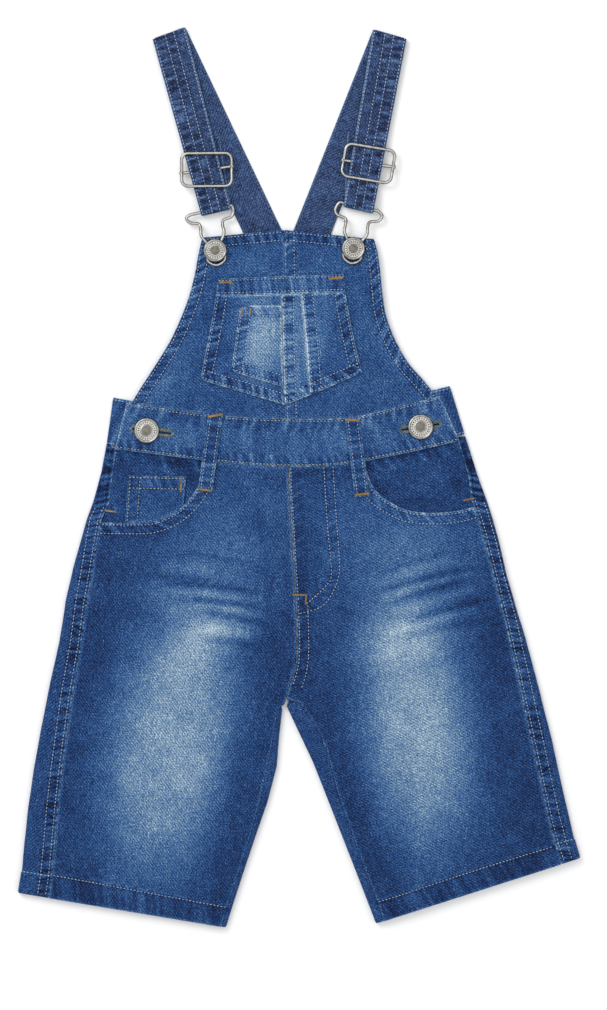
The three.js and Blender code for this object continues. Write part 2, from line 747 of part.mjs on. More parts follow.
// A hook: one closed wire, its ring on the bib and its bar lower, inside the strap's turn
function hook(row) {
  const angle = THREE.MathUtils.degToRad(row.turn);
  const place = (out, up) =>
    new THREE.Vector3(
      row.x + out * Math.cos(angle) - up * Math.sin(angle),
      row.y + out * Math.sin(angle) + up * Math.cos(angle),
      mix(ringHeight, barHeight, smooth(hookRamp.low, hookRamp.high, up)),
    );
  const strapRow = straps.find(({ name }) => name === row.name);
  const barAngle = THREE.MathUtils.degToRad(strapRow.barTurn);
  const bar = [row.barTo, row.barTo - barInset, row.barFrom + barInset, row.barFrom].map(
    (at) =>
      new THREE.Vector3(
        strapRow.barX + at * Math.cos(barAngle),
        strapRow.barY + at * Math.sin(barAngle),
        barHeight,
      ),
  );
  const right = hookHalf.map(({ out, up }) => place(out, up));
  const left = hookHalf.slice(1).reverse().map(({ out, up }) => place(-out, up));
  const wire = new THREE.CatmullRomCurve3([...right, ...bar, ...left], true, 'centripetal');
  return new THREE.TubeGeometry(wire, 64, wireRadius, wireSides, true);
}

// A tack button: shank, domed head, raised rim and a boss in its middle
function button(row, { radius, shank, height }, foot, headFoot) {
  const rim = headFoot + height;
  const profile = [
    [0, foot],
    [shank, foot],
    [shank, headFoot],
    [radius - 0.5, headFoot],
    [radius, headFoot + 0.6],
    [radius - 0.4, rim - 0.3],
    [radius - 1.1, rim],
    [radius - 1.9, rim - 0.6],
    [radius * 0.42, rim - 0.5],
    [radius * 0.34, rim - 0.05],
    [0, rim],
  ];
  const geometry = new THREE.LatheGeometry(profile.map(([x, y]) => new THREE.Vector2(x, y)), 20);
  geometry.rotateX(Math.PI / 2);
  return turned(geometry, { ...row, turn: 0 }, 0);
}

const group = new THREE.Group();

function add(name, geometry, colour, finish = denim) {
  const material = new THREE.MeshStandardMaterial({ color: colour, ...finish });
  const mesh = new THREE.Mesh(geometry, material);
  mesh.name = name;
  group.add(mesh);
}

for (const side of ['left', 'right']) {
  add(`back_leg_${side}`, backLeg(side), colours.darkDenim);
  add(`front_leg_${side}`, frontLeg(side), colours.denim);
  add(`pocket_facing_${side}`, pocketFacing(side), colours.darkDenim);
  add(`bib_${side}`, bibHalf(side), colours.denim);
}
add('back_waistband', backWaistband(), colours.darkDenim);
add('back_bib', backBib(), colours.darkDenim);
add('coin_pocket', coin(), colours.denim);
add('front_waistband', frontWaistband(), colours.denim);
add('bib_pocket_left', pocketPanel('left', 'seam'), colours.denim);
add('bib_pocket_centre', pocketPanel('seam', 'seam2'), colours.fadedDenim);
add('bib_pocket_right', pocketPanel('seam2', 'right'), colours.denim);
const pocketTop = panel(quadPlan(pocketBand), steps(10), steps(1), pocketUnder, pocketBand.thickness);
add('bib_pocket_band', pocketTop, colours.denim);
const smallUnder = (x, y) => pocketUnder(x, y) + ply + seamGap;
add('small_pocket', panel(quadPlan(smallPocket), steps(4), steps(6), smallUnder), colours.fadedDenim);
for (const row of loops) add(`belt_loop_${row.name}`, beltLoop(row), colours.darkDenim);
for (const row of straps) {
  const shift = strapRise[4].at - row.sliderAt;
  add(`strap_${row.name}`, strap({ ...row, sliderShift: shift }), colours.denim);
}
for (const row of sliders) add(`slider_${row.name}`, slider(row), colours.nickel, metal);
for (const row of hooks) {
  add(`hook_${row.name}`, hook(row), colours.nickel, metal);
  const foot = ringHeight - wireRadius;
  const head = ringHeight + wireRadius + seamGap;
  add(`shoulder_button_${row.name}`, button(row, shoulderButton, foot, head), colours.nickel, metal);
}
for (const row of sideButtons) {
  const foot = lowTop + seamGap;
  const head = frontLift + bandThickness + seamGap;
  add(`side_button_${row.name}`, button(row, sideButton, foot, head), colours.nickel, metal);
}

export default group;
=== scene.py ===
# Denim bib shortalls for a small child, laid flat and face up on a pale surface.
# Tables are in millimetres on the frame's own axes; meshes are made in metres.
import math
import random
import bmesh
import bpy
import numpy as np
from mathutils import Matrix, Vector
from mathutils.geometry import delaunay_2d_cdt
from mathutils.kdtree import KDTree


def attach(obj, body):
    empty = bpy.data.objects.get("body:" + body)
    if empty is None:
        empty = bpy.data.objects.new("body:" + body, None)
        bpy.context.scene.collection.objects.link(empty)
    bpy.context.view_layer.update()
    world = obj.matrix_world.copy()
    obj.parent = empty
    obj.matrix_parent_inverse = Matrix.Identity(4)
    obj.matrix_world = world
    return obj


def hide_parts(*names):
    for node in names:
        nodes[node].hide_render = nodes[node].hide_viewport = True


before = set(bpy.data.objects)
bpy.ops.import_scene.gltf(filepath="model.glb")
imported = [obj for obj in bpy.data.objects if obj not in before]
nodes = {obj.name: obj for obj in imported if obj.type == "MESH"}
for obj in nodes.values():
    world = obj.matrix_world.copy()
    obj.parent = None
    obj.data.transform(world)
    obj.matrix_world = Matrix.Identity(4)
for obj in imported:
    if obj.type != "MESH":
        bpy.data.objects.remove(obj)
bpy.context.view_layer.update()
bpy.ops.object.select_all(action="DESELECT")
mm = 0.001

layers = {
    "ply": 1.2,
    "gap": 0.3,
    "front": 3.0,       # underside of the front cloth
    "facing": 1.5,      # underside of the pocket facings
    "hem": 0.8,
    "seam": 0.3,
    "band": 2.4,        # thickness of the waistband
    "edgeRound": 0.55,
}


# lines and fields

def mix(a, b, t):
    return a + (b - a) * t


def smooth(low, high, value):
    t = np.clip((value - low) / (high - low), 0, 1)
    return t * t * (3 - 2 * t)


def resample(line, step, closed=False):
    points = np.array(line, float)
    if closed:
        points = np.vstack([points, points[:1]])
    run = np.concatenate([[0], np.cumsum(np.linalg.norm(np.diff(points, axis=0), axis=1))])
    count = max(int(round(run[-1] / step)), 2)
    at = np.linspace(0, run[-1], count + 1)
    out = np.stack([np.interp(at, run, points[:, k]) for k in range(points.shape[1])], 1)
    return out[:-1] if closed else out


def curve(points, step=1.0):
    p = np.array(points, float)
    ends = np.vstack([2 * p[0] - p[1], p, 2 * p[-1] - p[-2]])
    t = np.linspace(0, 1, 20, endpoint=False)[:, None]
    out = []
    for i in range(len(p) - 1):
        a, b, c, d = ends[i:i + 4]
        out.append(0.5 * (2 * b + (c - a) * t + (2 * a - 5 * b + 4 * c - d) * t**2
                          + (3 * b - a - 3 * c + d) * t**3))
    return resample(np.vstack(out + [p[-1:]]), step)


def moved(line, distance):
    # sideways, to the left of the line's direction
    tangent = np.gradient(line, axis=0)
    tangent /= np.linalg.norm(tangent, axis=1)[:, None]
    return line + np.stack([-tangent[:, 1], tangent[:, 0]], 1) * distance


def part(line, start, end):
    count = len(line) - 1
    return line[int(start * count):int(end * count) + 1]


def measure(line, xy, reach):
    # for each point: distance to the line, distance along it, and signed distance to its left
    fine = resample(line, 0.35)
    step = np.linalg.norm(fine[1] - fine[0])
    tree = KDTree(len(fine))
    for i, (x, y) in enumerate(fine):
        tree.insert((x, y, 0), i)
    tree.balance()
    away, at, side = np.full(len(xy), 1e3), np.zeros(len(xy)), np.full(len(xy), -1e3)
    near = np.flatnonzero(((xy > fine.min(0) - reach) & (xy < fine.max(0) + reach)).all(1))
    if not len(near):
        return away, at, side
    k = np.array([tree.find((xy[i, 0], xy[i, 1], 0))[1] for i in near])
    tangent = np.gradient(fine, axis=0)[k]
    tangent /= np.linalg.norm(tangent, axis=1)[:, None]
    offset = xy[near] - fine[k]
    past = (offset * tangent).sum(1)
    away[near] = np.hypot(offset[:, 0], offset[:, 1])
    at[near] = k * step + past
    side[near] = tangent[:, 0] * offset[:, 1] - tangent[:, 1] * offset[:, 0]
    ended = ((k == 0) | (k == len(fine) - 1)) & (np.abs(past) > 0.8)
    side[near[ended]] = -1e3
    return away, at, side


puckerLook = {"margin": 12, "step": 0.3, "spacing": (0.55, 1.45), "height": (0.35, 1), "width": (0.2, 0.36)}


def crumple(length, pitch, seed):
    # uneven bumps along a seam, as a table of place and height
    rng, look = random.Random(seed), puckerLook
    s = np.arange(-look["margin"], length + look["margin"], look["step"])
    wave = np.zeros(len(s))
    at = -look["margin"]
    while at < length + look["margin"]:
        at += pitch * rng.uniform(*look["spacing"])
        height = rng.uniform(*look["height"])
        wave += height * np.exp(-((s - at) / (pitch * rng.uniform(*look["width"])))**2)
    return s, wave - wave.mean()


def bumps(rows, xy, flat=1.0):
    # soft ellipses: x, y, turn, half length, half width, height; flat tops where flat is above 1
    total = np.zeros(len(xy))
    for x, y, turn, long, wide, high in rows:
        c, s = math.cos(math.radians(turn)), math.sin(math.radians(turn))
        along = (xy[:, 0] - x) * c + (xy[:, 1] - y) * s
        across = (xy[:, 1] - y) * c - (xy[:, 0] - x) * s
        total += high * np.exp(-((along / long)**2 + (across / wide)**2)**flat)
    return total


def strokes(rows, xy):
    # soft lines: x, y to x, y, half width, amount
    total = np.zeros(len(xy))
    for x1, y1, x2, y2, wide, amount in rows:
        length = math.hypot(x2 - x1, y2 - y1)
        c, s = (x2 - x1) / length, (y2 - y1) / length
        along = ((xy[:, 0] - x1) * c + (xy[:, 1] - y1) * s) / length
        across = (xy[:, 1] - y1) * c - (xy[:, 0] - x1) * s
        across = across + 0.08 * length * (along - 0.5)**2
        ends = smooth(-0.15, 0.25, along) * (1 - smooth(0.75, 1.15, along))
        total += amount * np.exp(-(across / wide)**2) * ends
    return total


def ripple(xy, size, seed):
    # gentle unevenness, about from -1 to 1
    rng = random.Random(seed)
    total = np.zeros(len(xy))
    for _ in range(9):
        turn, pitch = rng.uniform(0, math.pi), size * rng.uniform(0.7, 1.6)
        phase = (xy[:, 0] * math.cos(turn) + xy[:, 1] * math.sin(turn)) / pitch * 2 * math.pi
        total += np.sin(phase + rng.uniform(0, 6.28))
    return total / 4.5


# the front cloth's form, as in the frame, and its finer creases

folds = [  # x, y, turn, half length, half width, height
    (-62, -76, -5, 32, 7, 0.9), (-50, -98, -14, 30, 6, 0.7), (-95, -58, 8, 34, 8, 0.8),
    (66, -70, 17, 34, 7, 0.9), (96, -96, 12, 28, 7, 1.0), (75, -84, 9, 36, 7, 0.7),
    (-118, -150, 78, 45, 12, 0.9), (-62, -215, 80, 40, 14, 0.8), (120, -165, 104, 44, 12, 0.9),
    (62, -225, 108, 40, 13, 0.8), (-70, 88, 62, 16, 5, 0.6), (58, 76, -58, 16, 5, 0.6),
]
creases = [
    (-62, -67, -2, 20, 2.2, -0.35), (-64, -50, 0, 17, 2.0, -0.25), (-60, -87, -9, 26, 2.4, -0.4),
    (-36, -93, -3, 14, 2.0, -0.3), (-50, -112, 4, 14, 3.0, -0.25), (-30, -128, 24, 18, 3.4, 0.35),
    (75, -60, 20, 22, 2.2, -0.3), (74, -74, 13, 28, 2.2, -0.4), (99, -99, 16, 24, 2.6, -0.45),
    (80, -83, 11, 26, 2.0, -0.3), (28, -128, -30, 18, 3.4, 0.35), (40, -150, -50, 22, 4, 0.3),
    (-136, -215, 80, 30, 4, 0.35), (-92, -250, 84, 22, 5, 0.3), (140, -210, 108, 26, 4, 0.35),
    (92, -246, 108, 20, 5, 0.3), (-34, -40, 88, 20, 4, 0.25), (36, -36, 92, 18, 4, 0.25),
    (-52, 140, 8, 16, 3, 0.25), (24, 140, -10, 14, 3, 0.25), (-82, 66, 30, 14, 3.4, 0.3),
    (66, 66, -35, 12, 3.0, 0.3), (-46, 54, 10, 22, 3.2, 0.3), (46, 56, -8, 14, 3.2, 0.3),
]


def frontForm(xy):
    return bumps(folds, xy) + bumps(creases, xy)


def frontUnder(xy):
    return layers["front"] + frontForm(xy)


def overBib(xy):
    return frontUnder(xy) + layers["ply"] + layers["seam"] + layers["gap"]


def outlineOf(node, grow=0.12):
    # the rims of a flat solid's upward faces, seen from above, smoothed between their corners
    mesh = bmesh.new()
    mesh.from_mesh(nodes[node].data)
    bmesh.ops.remove_doubles(mesh, verts=mesh.verts, dist=1e-6)
    mesh.normal_update()
    upward = [f for f in mesh.faces if f.normal.z > 0.25]   # in the mesh's order, so that each run is the same
    known, after = set(upward), {}
    for face in upward:
        for loop in face.loops:
            if not any(f in known and f is not face for f in loop.edge.link_faces):
                after[loop.vert] = loop.link_loop_next.vert
    rims = []
    while after:
        start, vert = next(iter(after.items()))
        rim = [start]
        del after[start]
        while vert is not start and vert in after:
            rim.append(vert)
            vert = after.pop(vert)
        if len(rim) > 3:
            rims.append(np.array([[v.co.x, v.co.y] for v in rim]) / mm)
    mesh.free()
    rims.sort(key=lambda rim: -np.ptp(rim[:, 0]) * np.ptp(rim[:, 1]))
    return [softened(rim, grow) for rim in rims]


def softened(rim, grow, step=1.1):
    rim = rim[np.linalg.norm(rim - np.roll(rim, 1, 0), axis=1) > 0.02]
    before, after = np.roll(rim, 1, 0), np.roll(rim, -1, 0)
    a, b = rim - before, after - rim
    turn = np.abs(np.arctan2(a[:, 0] * b[:, 1] - a[:, 1] * b[:, 0], (a * b).sum(1)))
    corners = np.flatnonzero(turn > math.radians(28))
    if not len(corners):
        runs = [np.vstack([rim, rim[:1]])]
    else:
        rim = np.roll(rim, -corners[0], 0)
        corners = np.append(corners - corners[0], len(rim))
        closed = np.vstack([rim, rim[:1]])
        runs = [closed[i:j + 1] for i, j in zip(corners[:-1], corners[1:])]
    out = []
    for run in runs:
        line = resample(run, step) if np.linalg.norm(np.diff(run, axis=0), axis=1).sum() > step else run
        for _ in range(24 if len(line) > 12 else 0):
            line[1:-1] = line[1:-1] * 0.5 + (line[:-2] + line[2:]) * 0.25
        out.append(line[:-1])
    line = np.vstack(out)
    around = np.roll(line, -1, 0) - np.roll(line, 1, 0)
    around /= np.linalg.norm(around, axis=1)[:, None] + 1e-9
    return line + np.stack([around[:, 1], -around[:, 0]], 1) * grow


def insideLoops(loops, xy):
    inside = np.zeros(len(xy), bool)
    for loop in loops:
        a, b = loop, np.roll(loop, -1, 0)
        for start in range(0, len(xy), 4000):
            q = xy[start:start + 4000, None]
            spans = (a[None, :, 1] > q[..., 1]) != (b[None, :, 1] > q[..., 1])
            with np.errstate(divide="ignore", invalid="ignore"):
                cross = a[:, 0] + (q[..., 1] - a[:, 1]) * (b[:, 0] - a[:, 0]) / (b[:, 1] - a[:, 1])
            inside[start:start + 4000] ^= ((spans & (q[..., 0] < cross)).sum(1) % 2).astype(bool)
    return inside


def rimDistance(loops, xy):
    fine = np.vstack([resample(loop, 0.3, True) for loop in loops])
    tree = KDTree(len(fine))
    for i, (x, y) in enumerate(fine):
        tree.insert((x, y, 0), i)
    tree.balance()
    return np.array([tree.find((x, y, 0))[2] for x, y in xy])


# materials

def newGroup(name, inputs, outputs):
    group = bpy.data.node_groups.new(name, "ShaderNodeTree")
    for label, kind, value in inputs:
        socket = group.interface.new_socket(label, in_out="INPUT", socket_type=kind)
        if value is not None:
            socket.default_value = value
    for label, kind in outputs:
        group.interface.new_socket(label, in_out="OUTPUT", socket_type=kind)
    return group, group.nodes.new("NodeGroupInput"), group.nodes.new("NodeGroupOutput")


def calc(tree, operation, *values):
    node = tree.nodes.new("ShaderNodeMath")
    node.operation = operation
    for socket, value in zip(node.inputs, values):
        if isinstance(value, (int, float)):
            socket.default_value = value
        else:
            tree.links.new(value, socket)
    return node.outputs[0]


def noiseOf(tree, vector, scale, stretch=(1, 1, 1), detail=2.0, rough=0.5):
    mapping = tree.nodes.new("ShaderNodeMapping")
    mapping.inputs["Scale"].default_value = stretch
    tree.links.new(vector, mapping.inputs["Vector"])
    noise = tree.nodes.new("ShaderNodeTexNoise")
    noise.inputs["Scale"].default_value = scale
    noise.inputs["Detail"].default_value = detail
    noise.inputs["Roughness"].default_value = rough
    tree.links.new(mapping.outputs[0], noise.inputs["Vector"])
    return noise.outputs["Fac"]


def rampOf(tree, value, stops):
    ramp = tree.nodes.new("ShaderNodeValToRGB")
    elements = ramp.color_ramp.elements
    while len(elements) < len(stops):
        elements.new(0.5)
    for element, (at, colour) in zip(elements, stops):
        element.position = at
        element.color = (*[srgb(c) for c in colour], 1)
    tree.links.new(value, ramp.inputs[0])
    return ramp.outputs[0]


def srgb(level):
    c = level / 255
    return c / 12.92 if c <= 0.04045 else ((c + 0.055) / 1.055)**2.4


denimLook = {
    "twillPitch": 1.6,
    "stops": [
        (0.0, (8, 17, 42)), (0.15, (18, 37, 77)), (0.3, (28, 59, 109)), (0.42, (39, 79, 135)),
        (0.52, (56, 96, 145)), (0.66, (90, 123, 157)), (0.82, (131, 156, 177)), (1.0, (190, 206, 216)),
    ],
}


def denimGroup():
    group, start, end = newGroup(
        "denimTwill",
        [("Grain", "NodeSocketVector", None), ("Tone", "NodeSocketFloat", 0.4),
         ("Streaks", "NodeSocketFloat", 1.0)],
        [("Color", "NodeSocketColor"), ("Roughness", "NodeSocketFloat"), ("Height", "NodeSocketFloat")],
    )
    grain, tone = start.outputs["Grain"], start.outputs["Tone"]
    split = group.nodes.new("ShaderNodeSeparateXYZ")
    group.links.new(grain, split.inputs[0])
    warp = noiseOf(group, grain, 1.0, (1.6, 0.22, 1), 3, 0.6)
    longWarp = noiseOf(group, grain, 1.0, (0.6, 0.05, 1), 2)
    weft = noiseOf(group, grain, 1.0, (0.2, 1.3, 1), 2)
    speckle = noiseOf(group, grain, 1.15, detail=3, rough=0.7)
    cloud = noiseOf(group, grain, 0.07, detail=4, rough=0.65)
    frequency = 2 * math.pi / denimLook["twillPitch"] / math.sqrt(2)
    diagonal = calc(group, "MULTIPLY", calc(group, "ADD", split.outputs[0], split.outputs[1]), frequency)
    wobble = calc(group, "MULTIPLY_ADD", speckle, 1.5, diagonal)
    twill = calc(group, "SINE", wobble)
    total = tone
    streaks = calc(group, "MULTIPLY", calc(group, "SUBTRACT", warp, 0.5), start.outputs["Streaks"])
    for value, centre, amount in (
        (streaks, 0, 0.6), (longWarp, 0.5, 0.18), (weft, 0.5, 0.42), (speckle, 0.5, 1.6),
        (cloud, 0.5, 0.26), (twill, 0, 0.085),
    ):
        shifted = calc(group, "SUBTRACT", value, centre)
        total = calc(group, "MULTIPLY_ADD", shifted, amount, total)
    group.links.new(rampOf(group, total, denimLook["stops"]), end.inputs["Color"])
    rough = calc(group, "MULTIPLY_ADD", speckle, 0.12, 0.8)
    group.links.new(rough, end.inputs["Roughness"])
    height = calc(group, "MULTIPLY_ADD", twill, 0.35, calc(group, "ADD", speckle, warp))
    group.links.new(height, end.inputs["Height"])
    return group


def denimMaterial(name, streaks, sheen, saturation):
    material = bpy.data.materials.new(name)
    material.use_nodes = True
    tree = material.node_tree
    shader = tree.nodes["Principled BSDF"]
    shader.inputs["Sheen Weight"].default_value = sheen
    shader.inputs["Sheen Roughness"].default_value = 0.5
    shader.inputs["Specular IOR Level"].default_value = 0.14
    grain = tree.nodes.new("ShaderNodeUVMap")
    grain.uv_map = "grain"
    tone = tree.nodes.new("ShaderNodeAttribute")
    tone.attribute_name = "tone"
    twill = tree.nodes.new("ShaderNodeGroup")
    twill.node_tree = denimTwill
    twill.inputs["Streaks"].default_value = streaks
    bump = tree.nodes.new("ShaderNodeBump")
    bump.inputs["Strength"].default_value = 0.35
    bump.inputs["Distance"].default_value = 0.25 * mm
    tree.links.new(grain.outputs[0], twill.inputs["Grain"])
    tree.links.new(tone.outputs["Fac"], twill.inputs["Tone"])
    dye = tree.nodes.new("ShaderNodeHueSaturation")
    dye.inputs["Saturation"].default_value = saturation
    tree.links.new(twill.outputs["Color"], dye.inputs["Color"])
    tree.links.new(dye.outputs["Color"], shader.inputs["Base Color"])
    tree.links.new(twill.outputs["Roughness"], shader.inputs["Roughness"])
    tree.links.new(twill.outputs["Height"], bump.inputs["Height"])
    tree.links.new(bump.outputs[0], shader.inputs["Normal"])
    return material


def threadMaterial(name, dark, light):
    material = bpy.data.materials.new(name)
    material.use_nodes = True
    tree = material.node_tree
    shader = tree.nodes["Principled BSDF"]
    shader.inputs["Roughness"].default_value = 0.65
    shader.inputs["Sheen Weight"].default_value = 0.2
    place = tree.nodes.new("ShaderNodeTexCoord")
    fleck = noiseOf(tree, place.outputs["Object"], 260, detail=2)
    tree.links.new(rampOf(tree, fleck, [(0.3, dark), (0.7, light)]), shader.inputs["Base Color"])
    twist = noiseOf(tree, place.outputs["Object"], 2500, detail=1)
    bump = tree.nodes.new("ShaderNodeBump")
    bump.inputs["Strength"].default_value = 0.4
    bump.inputs["Distance"].default_value = 0.1 * mm
    tree.links.new(twist, bump.inputs["Height"])
    tree.links.new(bump.outputs[0], shader.inputs["Normal"])
    return material


def nickelMaterial(name, dark, light, rough):
    material = bpy.data.materials.new(name)
    material.use_nodes = True
    tree = material.node_tree
    shader = tree.nodes["Principled BSDF"]
    shader.inputs["Metallic"].default_value = 0.92
    place = tree.nodes.new("ShaderNodeTexCoord")
    tarnish = noiseOf(tree, place.outputs["Object"], 420, detail=4, rough=0.65)
    scratches = noiseOf(tree, place.outputs["Object"], 900, (1, 0.25, 1), detail=3)
    # a painted highlight, a bright line along the middle of the wire, and painted shade, dull brown, where it
    # turns away from the view
    facing = tree.nodes.new("ShaderNodeLayerWeight")
    facing.inputs["Blend"].default_value = 0.5
    shade = calc(tree, "MULTIPLY_ADD", facing.outputs["Facing"], -1.05, calc(tree, "ADD", tarnish, 0.16))
    tree.links.new(rampOf(tree, shade, [(0.06, dark), (0.66, light)]), shader.inputs["Base Color"])
    tree.links.new(calc(tree, "MULTIPLY_ADD", scratches, 0.25, rough), shader.inputs["Roughness"])
    bump = tree.nodes.new("ShaderNodeBump")
    bump.inputs["Strength"].default_value = 0.2
    bump.inputs["Distance"].default_value = 0.08 * mm
    tree.links.new(tarnish, bump.inputs["Height"])
    tree.links.new(bump.outputs[0], shader.inputs["Normal"])
    return material


denimTwill = denimGroup()
denim = denimMaterial("denim", 1.0, 0.04, 1.0)
denimCord = denimMaterial("denimStrap", 1.2, 0.04, 0.86)
creamThread = threadMaterial("creamThread", (132, 158, 186), (196, 212, 222))
strawThread = threadMaterial("strawThread", (132, 150, 148), (198, 204, 176))
blueThread = threadMaterial("blueThread", (56, 82, 126), (98, 124, 160))
goldThread = threadMaterial("goldThread", (120, 88, 36), (178, 138, 68))
holeThread = threadMaterial("buttonholeThread", (58, 70, 70), (130, 132, 108))
# dark and light: the ends of a ramp of tarnish mixed with painted shade and painted highlight
nickel = nickelMaterial("agedNickel", (44, 41, 38), (190, 188, 183), 0.3)
nickelDark = nickelMaterial("agedNickelRecess", (32, 30, 27), (132, 128, 120), 0.5)
print("materials made")


# cloth pieces

seams = {"cream": {}, "straw": {}, "under": {}, "inner": {}}   # stitched rows, by kind and by piece
laid = {}


def addMesh(name, points, faces, materials):
    mesh = bpy.data.meshes.new(name)
    corners = [tuple(p) for p in np.asarray(points) * mm]
    mesh.from_pydata(corners, [], [tuple(int(i) for i in f) for f in faces])
    for material in materials:
        mesh.materials.append(material)
    piece = bpy.data.objects.new(name, mesh)
    bpy.context.scene.collection.objects.link(piece)
    return piece


clothLook = {
    "leastShare": 0.301,                     # of a flat size that its area fills
    "ripple": 26, "rise": 0.1,               # slow unevenness of the form
    "dyeRipple": 34, "dye": 0.025, "fadeFlat": 1.7,
    "stripSoft": 0.7, "ridgeWidth": 0.6,
    "bedWidth": 0.55, "bedDepth": 0.22, "bedPaintedShade": 0.2, "bedReach": 0.75,   # what a stitched row draws in, and the painted shade in its groove
    "rimWidth": 0.8, "rimWearAndPaintedHighlight": 0.16, "underTone": 0.18, "pitch": 1.3, "underPitch": 4.5,
}


def finishCloth(piece, tones, grains, node, flat, area, restsOn):
    mesh = piece.data
    mesh.attributes.new("tone", "FLOAT", "POINT").data.foreach_set("value", np.asarray(tones, np.float32))
    corners = np.zeros(len(mesh.loops), np.int32)
    mesh.loops.foreach_get("vertex_index", corners)
    layer = mesh.uv_layers.new(name="grain")
    layer.data.foreach_set("uv", np.asarray(grains, np.float32)[corners].ravel())
    mesh.polygons.foreach_set("use_smooth", [True] * len(mesh.polygons))
    mesh.update()
    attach(piece, "root")
    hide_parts(node)
    wide, long = (float(side) for side in flat)
    share = min(max(area / (wide * long), clothLook["leastShare"]), 1.0)
    laid[node] = {"piece": piece, "flat": (wide * mm, long * mm), "area": share * wide * long * mm * mm,
                  "restsOn": restsOn, "with": []}


def dressed(panel, xy):
    # height above the plain cloth, and tone
    look, seed = clothLook, len(panel["node"])
    lift = panel.get("unevenness", look["rise"]) * ripple(xy, look["ripple"], seed)
    tone = panel["tone"] + look["dye"] * ripple(xy, look["dyeRipple"], 7 + seed)
    tone += bumps(panel.get("fades", ()), xy, look["fadeFlat"])
    tone += strokes(panel.get("strokes", ()), xy)
    for strip in panel.get("strips", ()):
        low, high = strip["low"], strip["high"]
        line = strip["line"]
        _, at, side = measure(line, xy, max(abs(low), abs(high)) + 3)
        soft = look["stripSoft"]
        window = smooth(low - soft, low + soft * 0.4, side)
        window *= 1 - smooth(high - soft * 0.4, high + soft, side)
        length = np.linalg.norm(np.diff(line, axis=0), axis=1).sum()
        s, wave = crumple(length, strip.get("pitch", 6), strip.get("seed", len(line)))
        bend = np.interp(at + strip.get("slant", 0.5) * side, s, wave)
        belly = np.sqrt(np.clip((side - low) * (high - side), 0, None)) / max((high - low) / 2, 1e-6)
        lift += window * (strip.get("rise", 0) + strip.get("depth", 0.3) * bend * (0.4 + 0.6 * belly))
        tone += window * (strip.get("shade", 0) + strip.get("wear", 0.16) * bend)
        # pale lines along a seam's ridge, partly wear and partly a painted highlight; a negative amount is a
        # painted shadow beside the ridge
        for where, light in strip.get("ridgeWearAndPaintedLight", ()):
            tone += light * np.exp(-((side - where) / look["ridgeWidth"])**2) * (0.7 + 0.3 * np.sin(at * 1.3))
    return lift, tone


def surfaceOf(panel, xy):
    look = clothLook
    lift, tone = dressed(panel, xy)
    rim = rimDistance(panel["loops"], xy)
    groove = np.zeros(len(xy))
    for line, _ in panel.get("rows", ()):
        away, _, _ = measure(line, xy, 2)
        groove = np.maximum(groove, np.exp(-(away / look["bedWidth"])**2))
    # the rim is paler, partly from wear and partly a painted highlight
    edge = panel.get("edge", look["rimWearAndPaintedHighlight"]) * np.exp(-(rim / look["rimWidth"])**2)
    top = panel["under"](xy) + panel["thick"] + lift - look["bedDepth"] * groove
    # each stitch groove gets a painted shade
    return top, tone - look["bedPaintedShade"] * groove + edge, rim


